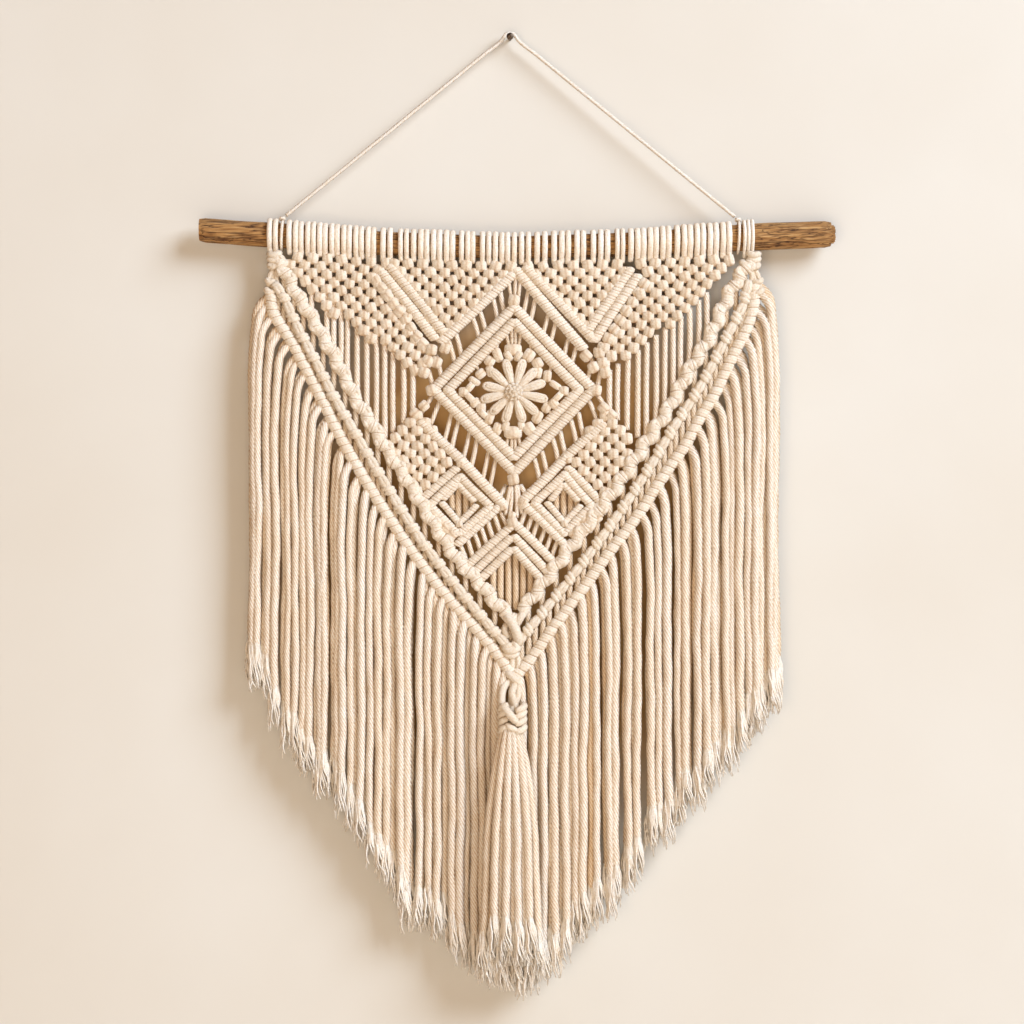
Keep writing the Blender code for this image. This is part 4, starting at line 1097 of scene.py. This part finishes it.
def make_inner_rows():
    """The V's inner rows: fat hitches that bulge to each side by turns, rougher on the right."""
    cords = Cords()
    for side, points in zip((1, -1), INNER_V):
        path = smooth(in_panel(points, PANEL_Y - 1.0), 1.5)
        along = lengths(path)
        _, across, _ = frames_on(path, FRONT)
        rough = 1.0 if side > 0 else 1.2
        path = path + across * (INNER_SWAY * rough * np.sin(TURN * along / LOBE))[:, None]
        cords.hitched(
            path, INNER_RADIUS, LOBE / 7, (0.2 * rough, 0.07, 0.05, 0.08 * rough, 0.16 * rough, 0.06, 0.05),
            slant=lambda s: 0.3 * np.cos(TURN * s / LOBE), corners=18,
            swell=lambda s, rough=rough: 1 + 0.07 * rough * np.cos(2 * TURN * s / LOBE + 0.6), tone=0.8,
        )
        for k in range(int(along[-1] / LOBE * 2)):  # a turn of cord over each bulge
            at, out = (k + 0.5) * LOBE / 2, (1 if k % 2 else -1) * side
            t = np.linspace(-1, 1, 9)
            spots = [row_at(points, at + 4.2 * s, out * (0.6 + 3.6 * (1 - s * s))) for s in t]
            line = np.array(in_panel(spots, PANEL_Y - 2.4))
            line[:, 1] -= 1.5 * (1 - t**2)
            size = 2.5 * rough**0.5 * (0.55 + 0.45 * (1 - t**2))
            cords.strand(line, size, yarns=5, lead=16.0, deep=0.05, tone=0.8)
    belongs(cords.piece("inner_rows", knotted), ["panel"])


def make_chains():
    """The V's middle rows: two strands side by side from knot to knot, tied by others to both rows."""
    cords = Cords()
    short = {"yarns": 6, "lead": 18.0, "deep": 0.05}
    for inner, middle, outer in zip(INNER_V, MIDDLE_V, OUTER_V):
        total = lengths(np.asarray(middle, float))[-1]
        count = round(total / CHAIN_PITCH)
        pitch = total / count
        for i in range(count):
            t = np.linspace(0, 1, 7)
            bulge = np.sin(np.linspace(0.3, math.pi - 0.3, 7))
            for out in (-1.25, 1.25):  # the two strands, pressed together
                spots = [row_at(middle, (i + 0.02 + 0.74 * s) * pitch, out * b) for s, b in zip(t, bulge)]
                path = np.array(in_panel(spots, PANEL_Y - 2.6))
                path[:, 1] -= bulge * 1.0
                cords.strand(path, 1.9 + 1.15 * bulge, **short, tone=chance.uniform(0.7, 1))
            spot = row_at(middle, (i + 0.84) * pitch)
            run = row_at(middle, (i + 0.9) * pitch) - spot
            run /= np.linalg.norm(run)
            across = np.array((-run[1], run[0]))
            t = np.linspace(-0.5, 0.5, 7)
            bulge = np.cos(t * math.pi * 0.85)
            for shift, lean in ((-1.6, 0.5), (1.7, 0.35)):  # the knot's two turns
                spots = [spot + run * (shift + lean * s * 8) + across * s * 8.0 for s in t]
                path = np.array(in_panel(spots, PANEL_Y - 2.4))
                path[:, 1] -= bulge * 2.0
                cords.strand(path, 1.5 + 1.5 * bulge, **short, tone=chance.uniform(0.7, 1))
            for row, share, up in ((inner, 0.84, 1), (outer, 0.32, -1), (outer, 0.84, -1)):  # the ties
                x, z = row_at(middle, (i + share) * pitch)
                far = below(row, x)
                if abs(far - z) > 14:
                    foot = z + up * 2.5
                    far -= up * 4.0
                    path = smooth([
                        (x + PANEL_X, PANEL_Y + 1.0, foot),
                        (x + PANEL_X + jitter(0.6), PANEL_Y - 0.2, (foot + far) / 2),
                        (x + PANEL_X + jitter(0.8), PANEL_Y + 1.4, far),
                    ], 2.4)
                    swell = 0.72 + 0.28 * np.sin(np.linspace(0.2, math.pi - 0.2, len(path)))
                    cords.strand(path, 2.6 * swell, yarns=6, lead=20.0, tone=chance.uniform(0.2, 0.8))
    belongs(cords.piece("chained_rows", knotted), ["panel"])


def make_outer_rows():
    """The V's outer rows: hitches in twos, from which the fringe hangs."""
    cords = Cords()
    for lean, points in zip((0.2, -0.2), OUTER_V):
        path = smooth(in_panel(points, PANEL_Y - 0.6), 1.5)
        cords.hitched(path, ROW_RADIUS, ROW_HITCH, (0.15, 0.06, 0.08), lean, corners=16, lump=0.12, tone=0.9)
    belongs(cords.piece("outer_rows", knotted), ["fringe"])


def turn_of_cord(cords, spots, radius, lift):
    """A short fat turn of cord through (x, z) spots of the panel, raised in its middle."""
    line = smooth(in_panel(spots), 1.6)
    t = np.linspace(-1, 1, len(line))
    line[:, 1] -= lift + (1 - t**2) * radius * 0.7
    tone = chance.uniform(0.45, 1)
    cords.strand(line, radius * (0.6 + 0.4 * np.sqrt(1 - t**4)), yarns=6, lead=20.0, deep=0.05, tone=tone)


def make_point():
    """The knots at the V's two tops and where its rows cross, and the strands between them."""
    cords = Cords()
    for side in (-1, 1):
        for spots, radius, lift in TOP_KNOTS:
            turn_of_cord(cords, [(x * side, z) for x, z in spots], radius, lift)
    for spots, radius, lift in POINT_KNOTS:
        turn_of_cord(cords, spots, radius, lift)
    belongs(cords.piece("point_knots", knotted), ["panel"])


# Rosette


def make_rosette():
    cords = Cords()
    centre = np.array((PANEL_X, ROSE_Y, ROSE_Z))
    for k in range(PETALS):
        angle = TURN * (k + 0.5) / PETALS + jitter(0.06)
        out = np.array((math.cos(angle), 0, math.sin(angle)))
        side = np.array((-math.sin(angle), 0, math.cos(angle)))
        length = PETAL_LENGTH * (1 + jitter(0.05)) - 1.3
        # two strands, one within the other: each goes out along one side, round the tip and back
        for share, wide, radius, lift in ((1.0, PETAL_WIDE, 1.7, 0.0), (0.93, 0.85, 1.65, 0.7)):
            t = np.linspace(0, 1, 21)
            u = np.sin(t * math.pi) ** 0.8
            reach = PETAL_INNER + (length * share - PETAL_INNER) * u
            sway = wide * np.where(t < 0.5, 1, -1) * u**0.8 * np.sqrt(np.clip(1 - u**6, 0, 1)) * 1.15
            loop = centre + out * reach[:, None] + side * sway[:, None]
            loop[:, 1] -= 1.0 + lift + 1.6 * np.sin(np.clip(u, 0, 1) * math.pi * 0.8)
            cords.strand(smooth(loop, 1.5), radius, yarns=4, lead=24.0, deep=0.05)
    # the button: a knot of many fine turns
    turns = [
        (centre + np.array((ring * math.cos(a), -height, ring * math.sin(a))), turned(a, (0.38, 0.36, 0.36)))
        for ring, count, height in ((5.6, 12, 4.4), (3.0, 7, 5.8), (0.0, 1, 6.4))
        for a in (TURN * (k + height * 0.3) / count for k in range(count))
    ]
    cords.copies(square_knot(0.06), turns)
    t = np.linspace(0, TURN, 30)
    core = np.column_stack([3.2 * np.cos(t), -2.8 + 0 * t, 3.2 * np.sin(t)]) + centre
    cords.strand(core, 3.1, yarns=5, lead=14.0)
    belongs(cords.piece("rosette_petals", knotted), ["rosette"])

    cords = Cords()
    plain, parted = [], []
    for x, z, length, wide, lean in ROSE_KNOTS:
        place = np.array((x + PANEL_X, PANEL_Y - 0.6 + jitter(0.4), z + ROSE_Z))
        size = (wide * 1.35 / KNOT_WIDE, 1.0, length * 1.22 / KNOT_HIGH)
        (parted if wide > 2.6 else plain).append((place, turned(lean, size)))
    cords.copies(square_knot(0.06), plain)
    cords.copies(square_knot(0.24), parted)
    for x, z, foot_x, foot_z in ROSE_TIES:
        spots = [(x, z), ((x + foot_x) / 2, (z + foot_z) / 2), (foot_x, foot_z)]
        path = in_panel([(a, b + ROSE_Z) for a, b in spots])
        cords.strand(smooth(path, 2.2), 1.6, yarns=5, lead=18.0)
    belongs(cords.piece("rosette_ties", knotted), ["panel"])


# Fringe and tassel


def hem_at(x):
    return float(np.interp(x, [p[0] for p in HEM], [p[1] for p in HEM]))


def make_fringe():
    """Strands hitched to the V's outer rows: each comes out under its row, bends down and hangs."""
    for side, points in zip((-1, 1), OUTER_V):
        total = lengths(np.asarray(points, float))[-1]
        # the layer behind takes low tones, painted darker as shade
        for word, count, y, radius, first, tones in (
            ("", FRONT_COUNT, FRONT_Y, FRINGE_RADIUS, 0.35, (0.35, 1)),
            ("behind_", BACK_COUNT, BACK_Y, 3.5, 0.8, (0.1, 0.5)),
        ):
            cords = Cords()
            for k in range(count):
                share = (k + first + jitter(0.12)) / count
                root_x, root_z = row_at(points, total * (1 - share))
                swing = 5.0 + 8.0 * share**2
                hang = root_x + side * swing + jitter(1.6)
                depth = y + (0.7 if k % 2 else -0.5) + jitter(0.4)
                drift = side * (0.5 + 2.2 * share) + jitter(1.4)
                low = hem_at(hang + drift) + jitter(5.0) + (4.0 if word else 0)
                root_y = PANEL_Y + (4.0 if k % 2 or word else 2.0)
                route = [
                    (root_x - side * 1.5 + PANEL_X, root_y, root_z + 2.5),
                    (root_x + side * swing * 0.5 + PANEL_X, (root_y + depth) / 2, root_z - 2.5),
                    (hang - side * swing * 0.13 + PANEL_X, depth, root_z - 11.0),
                    (hang + PANEL_X, depth, root_z - 24.0),
                    (hang + drift * 0.5 + PANEL_X, depth, (root_z + low) / 2 - 15),
                    (hang + drift + PANEL_X, depth, low + FRAY * 0.8),
                ]
                size, tone = radius * (1 + jitter(0.12)), chance.uniform(*tones)
                cords.loose_strand(route, size, tone, 0.85, LEAD + jitter(3))
            name = f"fringe_{word}{'left' if side < 0 else 'right'}"
            belongs(cords.piece(name, twisted), ["fringe"])


def fan_at(share, z):
    """How far out a strand of the tassel is at z, and how far forward its front is there."""
    zs, wides, deeps = zip(*TASSEL_FAN[::-1])
    return share * float(np.interp(z, zs, wides)), float(np.interp(z, zs, deeps)) * math.sqrt(1.05 - share**2)


def make_tassel():
    cords = Cords()

    def turn(points, radius):
        line = smooth([(x + PANEL_X, y, z) for x, y, z in points], 1.8)
        t = np.linspace(-1, 1, len(line))
        size = radius * (0.7 + 0.3 * (1 - t**4))
        cords.strand(line, size, yarns=7, lead=24.0, deep=0.06, tone=chance.uniform(0.6, 1))

    # the two thick strands under the V's point, crossing, and the knot that binds the tassel
    turn([(-3, -23, -515), (-8.4, -28, -522), (-9.8, -32, -533), (-7, -35, -544)], 3.3)
    turn([(2, -24, -517), (-1.6, -31, -526), (1.4, -33, -537), (5, -36, -546)], 3.2)
    turn([(4, -24, -518), (3.2, -29, -528), (-2.4, -34, -540), (-6, -37, -547)], 2.8)
    for lump in TASSEL_LUMPS:
        z = lump + jitter(0.7)
        for side in (  # down its left, then its right
            [(-4.4, -42.8, z + 2.2), (-8.6, -42, z + 0.6), (-10.2, -38, z - 1.6), (-8, -34, z - 2)],
            [(1.0, -43.8, z - 2.6), (5.6, -43.2, z - 0.8), (8.2, -39, z + 1.4), (6.4, -34.6, z + 2)],
        ):
            turn(side, 3.1 + jitter(0.3))
    turn([(-8.6, -42.4, -536), (-3.6, -45.6, -541.6), (2.4, -45.2, -548.6)], 3.4)
    turn([(-6.4, -42.6, -550), (-2.6, -44.6, -552.4), (2.0, -43.4, -555)], 2.9)
    turn([(0, -22, -512), (-1, -27, -530), (-2, -34, -545), (-2.4, -38, -562)], 4.2)
    belongs(cords.piece("tassel_knot", knotted), ["tassel"])

    cords = Cords()
    for foot, forward, shares in TASSEL_ROWS:
        for share in shares:
            low = foot + jitter(4)
            points = []
            for z in (-554, -566, -582, -600, -628, -665, -700, low + FRAY * 0.3):
                x, deep = fan_at(share, z)
                points.append((TASSEL_X + x, TASSEL_Y - deep * forward, z))
            # the back rows take a low tone, painted darker as shade
            tone = 0.15 if forward < 0 else None
            cords.loose_strand(points, 3.5 * (1 + jitter(0.06)), tone, 0.5, LEAD, 0.62)
    belongs(cords.piece("tassel_strands", twisted), ["tassel"])


set_the_stage()
make_hanging_cord()
make_ties()
make_nail()
make_branch()
make_heading()
make_nets()
make_bars()
make_strands()
make_inner_rows()
make_chains()
make_point()
make_rosette()
make_outer_rows()
make_fringe()
make_tassel()
